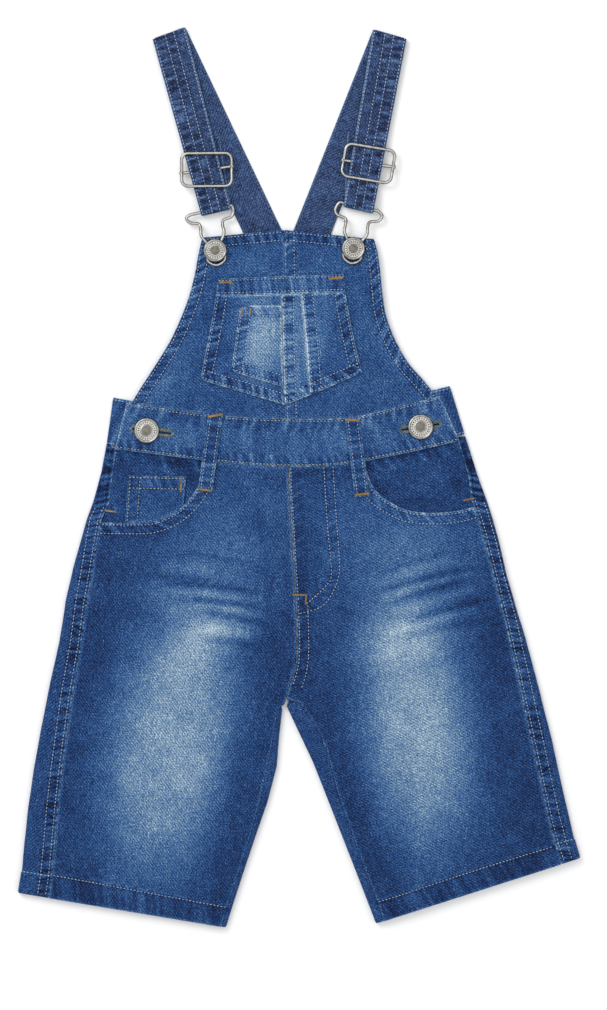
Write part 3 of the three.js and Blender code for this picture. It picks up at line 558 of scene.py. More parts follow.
def layPanel(panel):
    node, pitch, bed = panel["node"], panel.get("pitch", clothLook["pitch"]), clothLook["bedReach"]
    loops = panel["loops"] = outlineOf(node)
    rims = [resample(loop, min(pitch, 1.1), True) for loop in loops]
    low, high = rims[0].min(0), rims[0].max(0)
    rounded, half = layers["edgeRound"], panel["thick"] / 2

    def filling(step, rows):
        extra, ringShares = [np.zeros((0, 2))], (0.3, 1.0)
        for rim in rims:
            around = np.roll(rim, -1, 0) - np.roll(rim, 1, 0)
            around /= np.linalg.norm(around, axis=1)[:, None] + 1e-9
            inward = np.stack([-around[:, 1], around[:, 0]], 1)
            extra += [rim + inward * rounded * share for share in ringShares]
        shares = np.concatenate([[rounded * share * 0.9] * len(rim) for rim in rims for share in ringShares])
        rings = np.vstack(extra)
        keep = insideLoops(loops, rings) & (rimDistance(loops, rings) > shares)
        points = [rings[keep]]
        beds = [moved(resample(line, 1.0), shift) for line, _ in rows for shift in (-bed, 0, bed)]
        if beds:
            beds = np.vstack(beds)
            beds = beds[insideLoops(loops, beds)]
            points.append(beds[rimDistance(loops, beds) > rounded + 0.25])
        grid = [(x + (j % 2) * step / 2, y) for j, y in enumerate(np.arange(low[1], high[1], step * 0.87))
                for x in np.arange(low[0], high[0], step)]
        grid = np.array(grid)
        grid = grid[insideLoops(loops, grid)]
        keep = rimDistance(loops, grid) > rounded + step * 0.45
        for line, _ in rows:
            keep &= measure(line, grid, 2)[0] > bed + step * 0.35
        points.append(grid[keep])
        return np.vstack(points)

    def triangles(inner):
        everything = np.vstack(rims + [inner])
        edges, start = [], 0
        for rim in rims:
            count = len(rim)
            edges += [(start + i, start + (i + 1) % count) for i in range(count)]
            start += count
        verts, _, faces, *_ = delaunay_2d_cdt([Vector(p) for p in everything], edges, [], 0, 1e-5)
        xy = np.array([tuple(v) for v in verts])
        faces = np.array([f for f in faces if len(f) == 3])
        centre = xy[faces].mean(1)
        faces = faces[insideLoops(loops, centre)]
        a, b, c = xy[faces[:, 0]], xy[faces[:, 1]], xy[faces[:, 2]]
        area = ((b - a)[:, 0] * (c - a)[:, 1] - (b - a)[:, 1] * (c - a)[:, 0]) / 2
        faces[area < 0] = faces[area < 0][:, ::-1]
        return xy, faces, np.abs(area).sum()

    def drawnIn(rim):
        # how far the face of the cloth falls away at its rounded edge
        inset = np.clip(1 - rim / rounded, 0, 1)
        return half * (1 - np.sqrt(np.clip(1 - inset**2, 0, 1)))

    xy, faces, area = triangles(filling(pitch, panel.get("rows", ())))
    top, tone, rim = surfaceOf(panel, xy)
    upper = np.column_stack([xy, top - drawnIn(rim)])
    xyLow, facesLow, _ = triangles(filling(clothLook["underPitch"], ()))
    lower = np.column_stack([xyLow, panel["under"](xyLow) + drawnIn(rimDistance(loops, xyLow))])
    points = np.vstack([upper, lower])
    base = len(upper)
    below = {tuple(place): i for i, place in enumerate(np.round(xyLow, 3).tolist())}
    places = np.round(xy, 3).tolist()
    used = {(int(f[k]), int(f[(k + 1) % 3])) for f in faces for k in range(3)}
    side = []
    for a, b in used:
        if (b, a) not in used and tuple(places[a]) in below and tuple(places[b]) in below:
            side.append((b, a, base + below[tuple(places[a])], base + below[tuple(places[b])]))
    allFaces = [tuple(f) for f in faces] + [tuple(f[::-1] + base) for f in facesLow] + side
    piece = addMesh(panel["name"], points, allFaces, [denim])
    turn = math.radians(panel.get("grain", 0))
    spread = np.vstack([xy, xyLow])
    grains = np.column_stack([spread[:, 0] * math.cos(turn) + spread[:, 1] * math.sin(turn),
                              spread[:, 1] * math.cos(turn) - spread[:, 0] * math.sin(turn)])
    tones = np.concatenate([tone, np.full(len(xyLow), panel["tone"] + clothLook["underTone"])])
    finishCloth(piece, tones, grains, node, np.ptp(grains, axis=0), area, panel["restsOn"])
    for line, thread in panel.get("rows", ()):
        dense = resample(line, 0.5)
        dense = dense[insideLoops(loops, dense)]
        if len(dense) > 4:
            seams[thread].setdefault(node, []).append(np.column_stack([dense, surfaceOf(panel, dense)[0]]))


# the panels' own lines

mouths = {
    "left": curve([(-132, -28.2), (-107, -28.6), (-93, -27.4), (-80, -21.5), (-70.5, -12.5), (-64.5, -2.5),
                   (-60.2, 13)]),
    "right": curve([(119, -16.6), (103.5, -20.8), (85, -22.2), (70, -20.4), (57, -14), (47.5, -5),
                    (41.6, 13.5)]),
}
hemRows = {
    "left": curve([(-181, -256), (-161, -257.5), (-108.5, -267), (-43.5, -279)]),
    "right": curve([(44.5, -276.5), (62.5, -271.5), (112.5, -255), (166, -238.5), (180, -234)]),
}
flySeam = curve([(-6.9, 12), (-6.5, -3), (-5.4, -21), (-3.4, -55), (-1.6, -87), (-1.5, -118), (-7, -139)])
flyOuter = curve([(22, 9), (24, -22), (26, -49.5), (26, -62), (22, -73.5), (14.5, -83), (-1.5, -88)])
flyInner = curve([(16, 9), (18.5, -30), (21, -61), (17, -70), (4.5, -81.5)])
band = {
    "low": curve([(-119.5, 19.5), (-90, 15.8), (-64.5, 12.5), (-35, 9.2), (-8, 7.8), (15, 8.2), (33, 9.8),
                  (45, 12), (75, 18.2), (104, 24.8)]),
    "high": curve([(-112, 49.2), (-85, 45.4), (-58.5, 42), (-33, 39.9), (-8, 39.2), (13, 38.9), (30, 39.4),
                   (42.5, 41.4), (68, 47.8), (91.5, 53.8)]),
}
bibSides = {
    "left": curve([(-108.8, 49), (-103, 59), (-92.5, 75), (-83, 90.5), (-76, 106), (-71, 119.5),
                   (-67.6, 133), (-65.4, 146), (-62.8, 156.8)]),
    "right": curve([(91, 52), (81.5, 63.5), (70.5, 75.5), (62, 90.5), (56.2, 106), (54, 121), (52.8, 134),
                    (51.2, 147), (48.7, 155.8)]),
}
bibTops = {"left": curve([(-62.8, 156.8), (-36, 159.4), (-9.5, 161.8)]),
           "right": curve([(-9.5, 161.8), (20, 158.9), (48.7, 155.8)])}
bibSeam = curve([(-8, 37), (-8.4, 63), (-8.8, 95), (-9.2, 130), (-9.5, 161.8)])
pocketSides = {"left": curve([(-54, 118.6), (-56, 106), (-59, 90), (-61.8, 76), (-64, 64.6)]),
               "right": curve([(30, 121), (32.4, 107), (35.6, 91), (38.6, 78), (41, 69.2)])}
pocketFeet = {"left": curve([(-64, 64.6), (-9.1, 48.2)]), "centre": curve([(-9.1, 48.2), (7.4, 54.6)]),
              "right": curve([(7.4, 54.6), (41, 69.2)])}
pocketSeams = {"left": curve([(-11, 120), (-10.5, 87), (-9.1, 48.2)]),
               "right": curve([(1.5, 120.3), (4.6, 90), (7.4, 54.6)])}


legFades = {
    "left": [(-85, -176, 80, 94, 46, 0.38), (-78, -160, 78, 80, 33, 0.12), (-58, -104, 30, 40, 17, 0.15),
             (-58, -68, -4, 54, 34, 0.16), (-36, -20, 0, 46, 38, 0.14)],
    "right": [(77, -165, 98, 90, 41, 0.37), (77, -152, 97, 70, 29, 0.15), (60, -106, 4, 44, 16, 0.13),
              (68, -66, 10, 54, 34, 0.15), (60, -26, 0, 62, 34, 0.15)],
}
legStrokes = {
    "left": [(-74, -48, -34, -54, 1.8, -0.1), (-102, -62, -56, -66, 2.0, -0.12),
             (-84, -67, -24, -73, 2.0, -0.17), (-76, -77, -22, -83, 2.2, -0.16),
             (-60, -86, -20, -94, 2.6, -0.18), (-66, -104, -26, -108, 2.6, -0.1),
             (-90, -56, -40, -61, 3.4, 0.08), (-84, -72, -30, -78, 2.6, 0.1), (-70, -81, -26, -88, 2.4, 0.1),
             (-66, -96, -28, -101, 4.0, 0.14), (-24, -20, -16, -120, 5, -0.06),
             (-34, -160, -54, -262, 8, -0.05)],
    "right": [(50, -62, 98, -46, 1.8, -0.1), (50, -72, 118, -56, 2.0, -0.14),
              (58, -80, 110, -65, 2.0, -0.15), (70, -93, 122, -77, 2.4, -0.17),
              (60, -104, 112, -92, 2.6, -0.1), (50, -66, 108, -50, 3.2, 0.07), (54, -76, 112, -60, 2.4, 0.1),
              (62, -87, 114, -71, 2.8, 0.11), (56, -99, 112, -84, 3.8, 0.12), (34, -40, 28, -110, 5, -0.04),
              (24, -170, 56, -258, 8, -0.05)],
}


def legPanel(side):
    sign = -1 if side == "left" else 1
    mouth = mouths[side]
    hem = hemRows[side]
    strips = [
        {"line": mouth, "low": min(0, sign * 7.2), "high": max(0, sign * 7.2), "rise": 0.15, "pitch": 4.2,
         "depth": 0.4, "wear": 0.34, "shade": 0.02, "slant": 0.9, "seed": 11,
         "ridgeWearAndPaintedLight": [(sign * 0.5, 0.16)]},
        # the hem: a painted shadow just below its row and a painted highlight just above it
        {"line": hem, "low": -16, "high": 0.3, "rise": layers["hem"], "pitch": 5.0, "depth": 0.3,
         "wear": 0.2, "shade": -0.03, "slant": 0.25, "seed": 12, "ridgeWearAndPaintedLight": [(-0.9, -0.1), (1.4, 0.18)]},
    ]
    rows = [(moved(mouth, sign * 1.3), "cream"), (moved(mouth, sign * 7.0), "cream"), (hem, "cream")]
    if side == "right":
        strips += [
            {"line": flySeam, "low": 0, "high": 8, "rise": layers["seam"], "pitch": 5, "depth": 0.35,
             "wear": 0.2, "shade": -0.03, "seed": 13, "ridgeWearAndPaintedLight": [(0.6, 0.2)]},
            {"line": flyOuter, "low": -6, "high": 0.2, "rise": 0.1, "pitch": 5, "depth": 0.3, "wear": 0.22,
             "shade": -0.03, "seed": 14},
            {"line": flyOuter, "low": -34, "high": 0.4, "rise": 0.3, "depth": 0, "wear": 0, "shade": 0.02},
        ]
        rise = part(flySeam, 0.62, 0.97)
        rows += [(moved(part(flySeam, 0, 0.6), 1.5), "cream"), (flyOuter, "cream"), (flyInner, "cream"),
                 (moved(rise, 1.5), "cream"), (moved(rise, 7.4), "cream")]
    return {
        "name": f"frontLeg{side.title()}", "node": f"front_leg_{side}", "slot": "denim_front",
        "restsOn": [f"back_leg_{side}"], "under": frontUnder, "thick": layers["ply"], "tone": 0.23,
        "edge": 0.26, "grain": -9 if side == "left" else 15, "fades": legFades[side],
        "strokes": legStrokes[side], "strips": strips, "rows": rows,
    }


def facingPanel(side):
    return {
        "name": f"pocketFacing{side.title()}", "node": f"pocket_facing_{side}", "slot": "denim_front",
        "restsOn": [f"back_leg_{side}"], "under": lambda xy: np.full(len(xy), layers["facing"]),
        "thick": layers["ply"], "tone": 0.26, "grain": -7 if side == "left" else 8,
        "fades": [(-96, -4, 0, 22, 14, 0.05) if side == "left" else (80, 2, 0, 20, 12, 0.05)], "edge": 0.05,
        "strokes": [(-94, 12, -66, 9, 2, -0.12), (-90, 10, -77, -4, 1.8, 0.1), (-73, 6, -66, -10, 2, -0.1),
                    (-122, -6, -118, -24, 2, 0.1), (54, 6, 84, 14, 2, 0.07), (48, 0, 58, -12, 2, -0.09),
                    (96, 14, 104, -10, 2.4, -0.08), (62, -14, 92, -14, 2, -0.08)],
        "strips": [{"line": band["low"], "low": -8, "high": 0, "pitch": 6, "depth": 0.2, "wear": 0.24,
                    "seed": 21}],
    }


coinTop, coinSide = curve([(-110.8, 2.2), (-73.6, 1.4)]), curve([(-110.8, 2.2), (-113.4, -34)])
coinPanel = {
    "name": "coinPocket", "node": "coin_pocket", "slot": "denim_front", "restsOn": ["pocket_facing_left"],
    "under": lambda xy: np.full(len(xy), layers["facing"] + layers["ply"] + layers["gap"]),
    "thick": layers["ply"], "tone": 0.34, "grain": -5, "edge": 0.2,
    "strips": [{"line": coinTop, "low": -8, "high": 0, "pitch": 5, "depth": 0.35, "wear": 0.26,
                "shade": 0.03, "seed": 22},
               {"line": coinSide, "low": 0, "high": 8, "pitch": 6, "depth": 0.35, "wear": 0.24, "seed": 23}],
    "rows": [(moved(coinTop, -1.2), "straw"), (moved(coinTop, -8), "straw"), (moved(coinSide, 1.2), "straw"),
             (moved(coinSide, 7.6), "straw")],
}


def bandPanel():
    return {
        "name": "frontWaistband", "node": "front_waistband", "slot": "denim_front",
        "restsOn": ["back_waistband"], "under": lambda xy: np.full(len(xy), layers["front"]),
        "thick": layers["band"], "tone": 0.39, "grain": 0, "edge": 0.3, "unevenness": 0.12,
        "fades": [(-70, 30, 0, 30, 9, 0.06), (20, 24, 0, 26, 9, 0.07), (78, 34, 12, 20, 8, 0.06)],
        "strips": [
            {"line": band["low"], "low": 0, "high": 7, "pitch": 5.2, "depth": 0.4, "wear": 0.34,
             "slant": 0.3, "shade": -0.03, "seed": 31},
            {"line": band["high"], "low": -8, "high": 0, "pitch": 5.6, "depth": 0.4, "wear": 0.32,
             "slant": -0.3, "shade": -0.02, "seed": 32},
            {"line": moved(band["low"], 15), "low": -10, "high": 10, "pitch": 11, "depth": 0.3, "wear": 0.14,
             "slant": 0.2, "seed": 33},
        ],
        "rows": [(moved(band["low"], 1.4), "straw"), (moved(band["high"], -1.4), "straw")],
    }


def bibPanel(side):
    sign = 1 if side == "left" else -1   # the inside lies to the left of the right edge's line
    edge, top = bibSides[side], bibTops[side]
    inward = -1 if side == "left" else 1
    strips = [
        {"line": edge, "low": min(0, inward * 7), "high": max(0, inward * 7), "rise": layers["hem"],
         "pitch": 4.4, "depth": 0.45, "wear": 0.44, "shade": -0.04, "slant": 0.8, "seed": 41,
         "ridgeWearAndPaintedLight": [(inward * 8.2, 0.06)]},
        {"line": top, "low": -7, "high": 0, "rise": layers["hem"] * 0.6, "pitch": 4.4, "depth": 0.45,
         "wear": 0.46, "shade": -0.06, "slant": 0.3, "seed": 42},
    ]
    rows = [(moved(edge, inward * 1.3), "cream"), (moved(edge, inward * 6.4), "cream"),
            (moved(top, -1.3), "cream"), (moved(top, -6.4), "cream")]
    if side == "right":
        strips.append({"line": bibSeam, "low": -7, "high": 0, "rise": layers["seam"], "pitch": 4.6,
                       "depth": 0.4, "wear": 0.28, "shade": 0.02, "seed": 43, "ridgeWearAndPaintedLight": [(-0.6, 0.12)]})
        rows += [(moved(bibSeam, -6.2), "cream")]
    return {
        "name": f"bib{side.title()}", "node": f"bib_{side}", "slot": "denim_front", "restsOn": ["back_bib"],
        "under": frontUnder, "thick": layers["ply"], "tone": 0.37, "grain": 4 * sign, "strips": strips,
        "rows": rows,
        "fades": [(-40, 140, 0, 24, 9, 0.04), (26, 142, 0, 22, 9, 0.05), (-84, 70, 60, 22, 7, 0.05),
                  (60, 86, -60, 26, 6, 0.04), (-40, 50, 0, 40, 6, -0.03)],
        "strokes": [(-66, 128, -58, 100, 3, -0.06), (46, 128, 50, 100, 3, -0.06),
                    (-96, 60, -70, 70, 2.6, 0.06), (54, 62, 74, 66, 2.6, 0.06)],
    }


pocketFades = [(-26, 92, 88, 36, 15, 0.24), (-3, 86, 90, 44, 9, 0.2), (12, 98, 84, 30, 8, 0.14),
               (-55, 88, 84, 30, 7, -0.04)]


def pocketPanel(which):
    strips, rows = [], []
    foot = pocketFeet[which]
    strips.append({"line": foot, "low": 0, "high": 6.6, "pitch": 4.2, "depth": 0.5, "wear": 0.5,
                   "slant": 0.5, "shade": -0.04, "seed": 51})
    rows += [(moved(foot, 1.4), "cream"), (moved(foot, 6.6), "cream")]
    if which == "left":
        strips.append({"line": pocketSides["left"], "low": 0, "high": 6.6, "pitch": 4.2, "depth": 0.5,
                       "wear": 0.5, "slant": 0.5, "shade": -0.04, "seed": 52})
        rows += [(moved(pocketSides["left"], 1.4), "cream"),
                 (part(moved(pocketSides["left"], 6.8), 0, 0.92), "cream")]
    if which == "right":
        strips.append({"line": pocketSides["right"], "low": -6.6, "high": 0, "pitch": 4.2, "depth": 0.5,
                       "wear": 0.5, "slant": 0.5, "shade": -0.04, "seed": 53})
        rows += [(moved(pocketSides["right"], -1.4), "cream"),
                 (part(moved(pocketSides["right"], -6.8), 0, 0.92), "cream")]
    seam = {"left": None, "centre": "left", "right": "right"}[which]
    if seam:
        line = pocketSeams[seam]
        strips.append({"line": line, "low": 0, "high": 7.2, "rise": 0.2, "pitch": 3.2, "depth": -0.5,
                       "wear": -0.5, "slant": 0.1, "shade": -0.02, "seed": 54 if which == "centre" else 55,
                       "ridgeWearAndPaintedLight": [(0.5, 0.26), (8.2, 0.1)]})
        rows += [(moved(line, 1.7), "cream"), (moved(line, 7.2), "cream")]
    return {
        "name": f"bibPocket{which.title()}", "node": f"bib_pocket_{which}", "slot": "denim_faded",
        "restsOn": ["bib_left" if which == "left" else "bib_right"], "under": overBib,
        "thick": layers["ply"], "tone": 0.36, "grain": {"left": -4, "centre": 2, "right": 7}[which],
        "fades": pocketFades, "strips": strips, "rows": rows, "edge": 0.36,
    }


bandTop, bandFoot = curve([(-52.8, 130), (29.4, 133)]), curve([(-54, 118.9), (30, 121.4)])
pocketBandPanel = {
    "name": "bibPocketBand", "node": "bib_pocket_band", "slot": "denim_front",
    "restsOn": ["bib_left", "bib_right"], "under": overBib, "thick": 1.4, "tone": 0.36, "edge": 0.24,
    "fades": [(-8, 126, 0, 26, 8, 0.12)],
    "strips": [{"line": bandFoot, "low": 0, "high": 11, "pitch": 4.6, "depth": 0.45, "wear": 0.34,
                "slant": 0.1, "shade": -0.03, "seed": 61, "ridgeWearAndPaintedLight": [(0.4, 0.2)]}],
    "rows": [(moved(bandTop, -1.3), "cream"), (moved(bandFoot, 1.8), "cream")],
}
smallTop = curve([(-38, 112.4), (-11.6, 112.4)])
smallSide, smallFoot = curve([(-38, 112.4), (-44, 70)]), curve([(-44, 70), (-10.4, 59.8)])
smallPanel = {
    "name": "smallPocket", "node": "small_pocket", "slot": "denim_faded", "restsOn": ["bib_pocket_left"],
    "under": lambda xy: overBib(xy) + layers["ply"] + layers["gap"], "thick": layers["ply"], "tone": 0.46,
    "grain": -6, "fades": [(-24, 92, 84, 30, 14, 0.24)], "edge": 0.34,
    "strips": [{"line": smallTop, "low": -7, "high": 0, "pitch": 4.6, "depth": 0.35, "wear": 0.3,
                "shade": -0.06, "seed": 62},
               {"line": smallSide, "low": 0, "high": 7, "pitch": 4.2, "depth": 0.45, "wear": 0.44,
                "shade": -0.12, "seed": 63},
               {"line": smallFoot, "low": 0, "high": 7, "pitch": 4.2, "depth": 0.45, "wear": 0.44,
                "shade": -0.1, "seed": 64}],
    "rows": [(moved(smallTop, -6.6), "cream"), (moved(smallSide, 1.3), "cream"),
             (moved(smallSide, 7), "cream"), (moved(smallFoot, 1.3), "cream"),
             (moved(smallFoot, 7), "cream")],
}
backBibPanel = {
    "name": "backBib", "node": "back_bib", "slot": "denim_back", "restsOn": ["back_bib"],
    "under": lambda xy: np.zeros(len(xy)), "thick": layers["ply"], "tone": 0.36, "pitch": 2.2,
}

flatPanels = [legPanel("left"), legPanel("right"), facingPanel("left"), facingPanel("right"), coinPanel,
              bandPanel(), bibPanel("left"), bibPanel("right"), pocketPanel("left"), pocketPanel("centre"),
              pocketPanel("right"), pocketBandPanel, smallPanel, backBibPanel]
for panel in flatPanels:
    layPanel(panel)
print("flat panels laid", len(flatPanels))


# the back legs and the back waistband, which turn over on to the front

legColumns = ("outerX", "outerY", "innerX", "innerY", "wrapOut", "wrapIn", "curl", "top")
lowTop, highTop = layers["facing"] + layers["ply"], layers["front"] + layers["ply"]
legRows = {
    "left": [
        (-182.5, -269, -47.5, -291.5, 20, 3, 1, highTop), (-180.5, -256, -43.5, -278.5, 20, 3, 1, highTop),
        (-178.5, -235, -36.5, -257, 20, 3, 1, highTop), (-176, -212, -28.5, -233, 19.5, 3.2, 1, highTop),
        (-172.5, -189, -20.5, -210, 18.5, 5, 1, highTop), (-168, -163, -14.5, -187, 17.5, 6, 1, highTop),
        (-163, -138, -13, -168, 16, 3.4, 1, highTop), (-157, -110, -11, -150.5, 15, 3, 1, highTop),
        (-156, -106, -9.5, -146.5, 14.8, 0, 0, highTop), (-151.5, -78, -2, -118, 14, 0, 0, highTop),
        (-147, -58, -2.2, -88, 13, 0, 0, highTop), (-142, -40, -4, -56, 11, 0, 0, highTop),
        (-138, -26, -5, -36, 9.5, 0, 0, highTop), (-134, -15, -6, -22, 10.5, 0, 0, lowTop),
        (-128.5, 5, -7, -4, 7.5, 0, 0, lowTop), (-122.7, 38, -7.5, 22, 6.5, 0, 0, lowTop),
    ],
    "right": [
        (182.5, -246.5, 50, -289, 12.5, 5, 1, highTop), (179.5, -236, 45, -276, 13, 6, 1, highTop),
        (175, -217, 36.5, -254, 13.5, 6, 1, highTop), (170, -195, 27.5, -231, 13.3, 6.8, 1, highTop),
        (165, -172, 18.5, -208, 13.2, 7.4, 1, highTop), (159.5, -150, 9, -184, 12.6, 10.5, 1, highTop),
        (154, -128, 0, -165, 11.8, 12.5, 1, highTop), (148.5, -108, -8, -147.8, 11, 9, 1, highTop),
        (147.5, -104, -8.1, -142.8, 10.8, 0, 0, highTop), (141, -83, -1.5, -118, 9.3, 0, 0, highTop),
        (135, -62, -1.6, -87, 8.6, 0, 0, highTop), (130, -40, -3.4, -55, 9.2, 0, 0, highTop),
        (126, -26, -4.4, -35, 9.2, 0, 0, highTop), (122, -13.5, -5.4, -21, 9.6, 0, 0, lowTop),
        (116, 3, -6.4, -3, 6, 0, 0, lowTop), (103.1, 44, -6.9, 22, 5.4, 0, 0, lowTop),
    ],
}


def turnedSection(row, wall):
    # points across a section that turns over at its ends: across, height, inward normal, run along the cloth
    width = math.hypot(row["innerX"] - row["outerX"], row["innerY"] - row["outerY"])
    radius, end = row["top"] / 2, row["endTop"] / 2
    curl = row["curl"]
    points = []
    lip = row["wrapOut"] - radius
    for t in np.linspace(0, 1, wall["lip"]):
        points.append((row["wrapOut"] - t * lip, row["top"], 0, -1))
    for t in np.linspace(0, 1, 9)[1:]:
        s, c = math.sin(math.pi * t), math.cos(math.pi * t)
        points.append((radius - radius * s, radius + radius * c, s, -c))
    stop = mix(width - 9, width - end, curl)
    for t in np.linspace(0, 1, wall["under"])[1:]:
        points.append((mix(radius, stop, t), 0, 0, 1))
    for t in np.linspace(0, 1, 9)[1:]:
        s, c = math.sin(math.pi * t), math.cos(math.pi * t)
        flat = mix(stop, width, t * 0.9)
        points.append((mix(flat, width - end + end * s, curl), (end - end * c) * curl, -s * curl,
                       mix(1, c, curl)))
    reach = max(row["wrapIn"] - end, 0.4)
    for t in np.linspace(0, 1, wall["innerLip"])[1:]:
        flat = mix(stop, width, 0.9 + 0.1 * t)
        points.append((mix(flat, width - end - reach * t, curl), 2 * end * curl, 0, mix(1, -1, curl)))
    return np.array(points), width


def rowsBetween(table, columns, count):
    data = np.array(table, float)
    at = np.linspace(0, len(data) - 1, count)
    places = np.arange(len(data))
    return [dict(zip(columns, [np.interp(a, places, data[:, k]) for k in range(len(columns))])) for a in at]


def turnedWall(rows, wall, sag=lambda row, t: 0):
    # the outside of the cloth, its inward normals, and each point's run across and up the cloth
    outside, normals, runs = [], [], []
    for row in rows:
        section, width = turnedSection(row, wall)
        rx, ry = (row["innerX"] - row["outerX"]) / width, (row["innerY"] - row["outerY"]) / width
        across, height = section[:, 0], section[:, 1]
        x, y = row["outerX"] + rx * across, row["outerY"] + ry * across + sag(row, across / width)
        outside.append(np.column_stack([x, y, height]))
        normals.append(np.column_stack([rx * section[:, 2], ry * section[:, 2], section[:, 3]]))
        runs.append(np.concatenate([[0], np.cumsum(np.hypot(np.diff(across), np.diff(height)))]))
    outside, normals, runs = np.array(outside), np.array(normals), np.array(runs)
    normals /= np.linalg.norm(normals, axis=2)[:, :, None] + 1e-9
    up = np.linalg.norm(np.diff(outside[:, outside.shape[1] // 2], axis=0), axis=1)
    return outside, normals, runs, np.concatenate([[0], np.cumsum(up)])


def closeWall(shape, drop=None):
    # faces of a closed wall between two grids, less the quads that drop names
    rows, columns = shape[:2]
    count = rows * columns
    at = np.arange(count).reshape(rows, columns)
    keep = np.ones((rows - 1, columns - 1), bool) if drop is None else ~drop
    faces = []
    for r in range(rows - 1):
        for c in range(columns - 1):
            if not keep[r, c]:
                continue
            a, b, d, e = at[r, c], at[r, c + 1], at[r + 1, c + 1], at[r + 1, c]
            faces.append((a, b, d, e))
            faces.append((a + count, e + count, d + count, b + count))
            if r == 0 or not keep[r - 1, c]:
                faces.append((a, a + count, b + count, b))
            if r == rows - 2 or not keep[r + 1, c]:
                faces.append((e, d, d + count, e + count))
            if c == 0 or not keep[r, c - 1]:
                faces.append((a, e, e + count, a + count))
            if c == columns - 2 or not keep[r, c + 1]:
                faces.append((b, b + count, d + count, d))
    return faces


def roundRims(outside, inside):
    # draws the two sides of a wall together at its free edges, so that they look folded
    middle = (outside + inside) / 2
    for grid in (outside, inside):
        for index, share in ((0, 0.45), (-1, 0.45)):
            grid[:, index] = mix(grid[:, index], middle[:, index], share)
            grid[index] = mix(grid[index], middle[index], share)


def tidyUp(piece):
    mesh = bmesh.new()
    mesh.from_mesh(piece.data)
    bmesh.ops.recalc_face_normals(mesh, faces=mesh.faces)
    loose = [v for v in mesh.verts if not v.link_faces]
    bmesh.ops.delete(mesh, geom=loose, context="VERTS")
    mesh.to_mesh(piece.data)
    mesh.free()


waistEdges = {"low": ((-125.3, 22.3), (107.8, 29.2), -13), "high": ((-121, 53), (98.2, 60.5), -12)}


def underWaist(gap):
    # the line that the back legs end at: both ends of the waist's low edge and its sag, a little longer
    t = np.linspace(-0.06, 1.06, 40)
    (x1, y1), (x2, y2), sag = waistEdges["low"]
    return np.column_stack([mix(x1, x2, t), mix(y1, y2, t) + sag * 4 * t * (1 - t) - gap])


backLook = {
    "wall": {"lip": 17, "under": 60, "innerLip": 8}, "rows": 230, "lipWidth": 22, "filled": 0.97,
    "tone": 0.3, "insideTone": 0.5,
    "seam": {"from": 8.2, "to": 9.2, "pitch": 3.7, "seed": {"left": 71, "right": 72}, "slant": 0.3,
             "depth": 0.4, "wear": 0.6, "shade": -0.06},   # the felled strip beside the lip's edge
    "stitches": (2.2, 7.4), "stitchEnd": {"left": 34, "right": 30},
    # bed: painted shade in the stitch grooves; ridge: the lip's fold edge made paler, partly wear and partly a
    # painted highlight
    "bedWidth": 0.5, "bedDepth": 0.18, "bedPaintedShade": 0.1, "ridge": 0.4, "ridgeWidth": 0.7,
    "hem": {"at": 13.5, "rise": 0.5, "pitch": 5.5, "seed": 73, "wear": 0.13, "shade": 0.02},
    "seat": {"wide": 34, "at": 130, "tall": 80, "tone": 0.2},
    "creases": ((60, 3, -0.06), (84, 4, -0.05), (150, 4, -0.05), (205, 3.5, -0.06)),   # place, width, tone
}


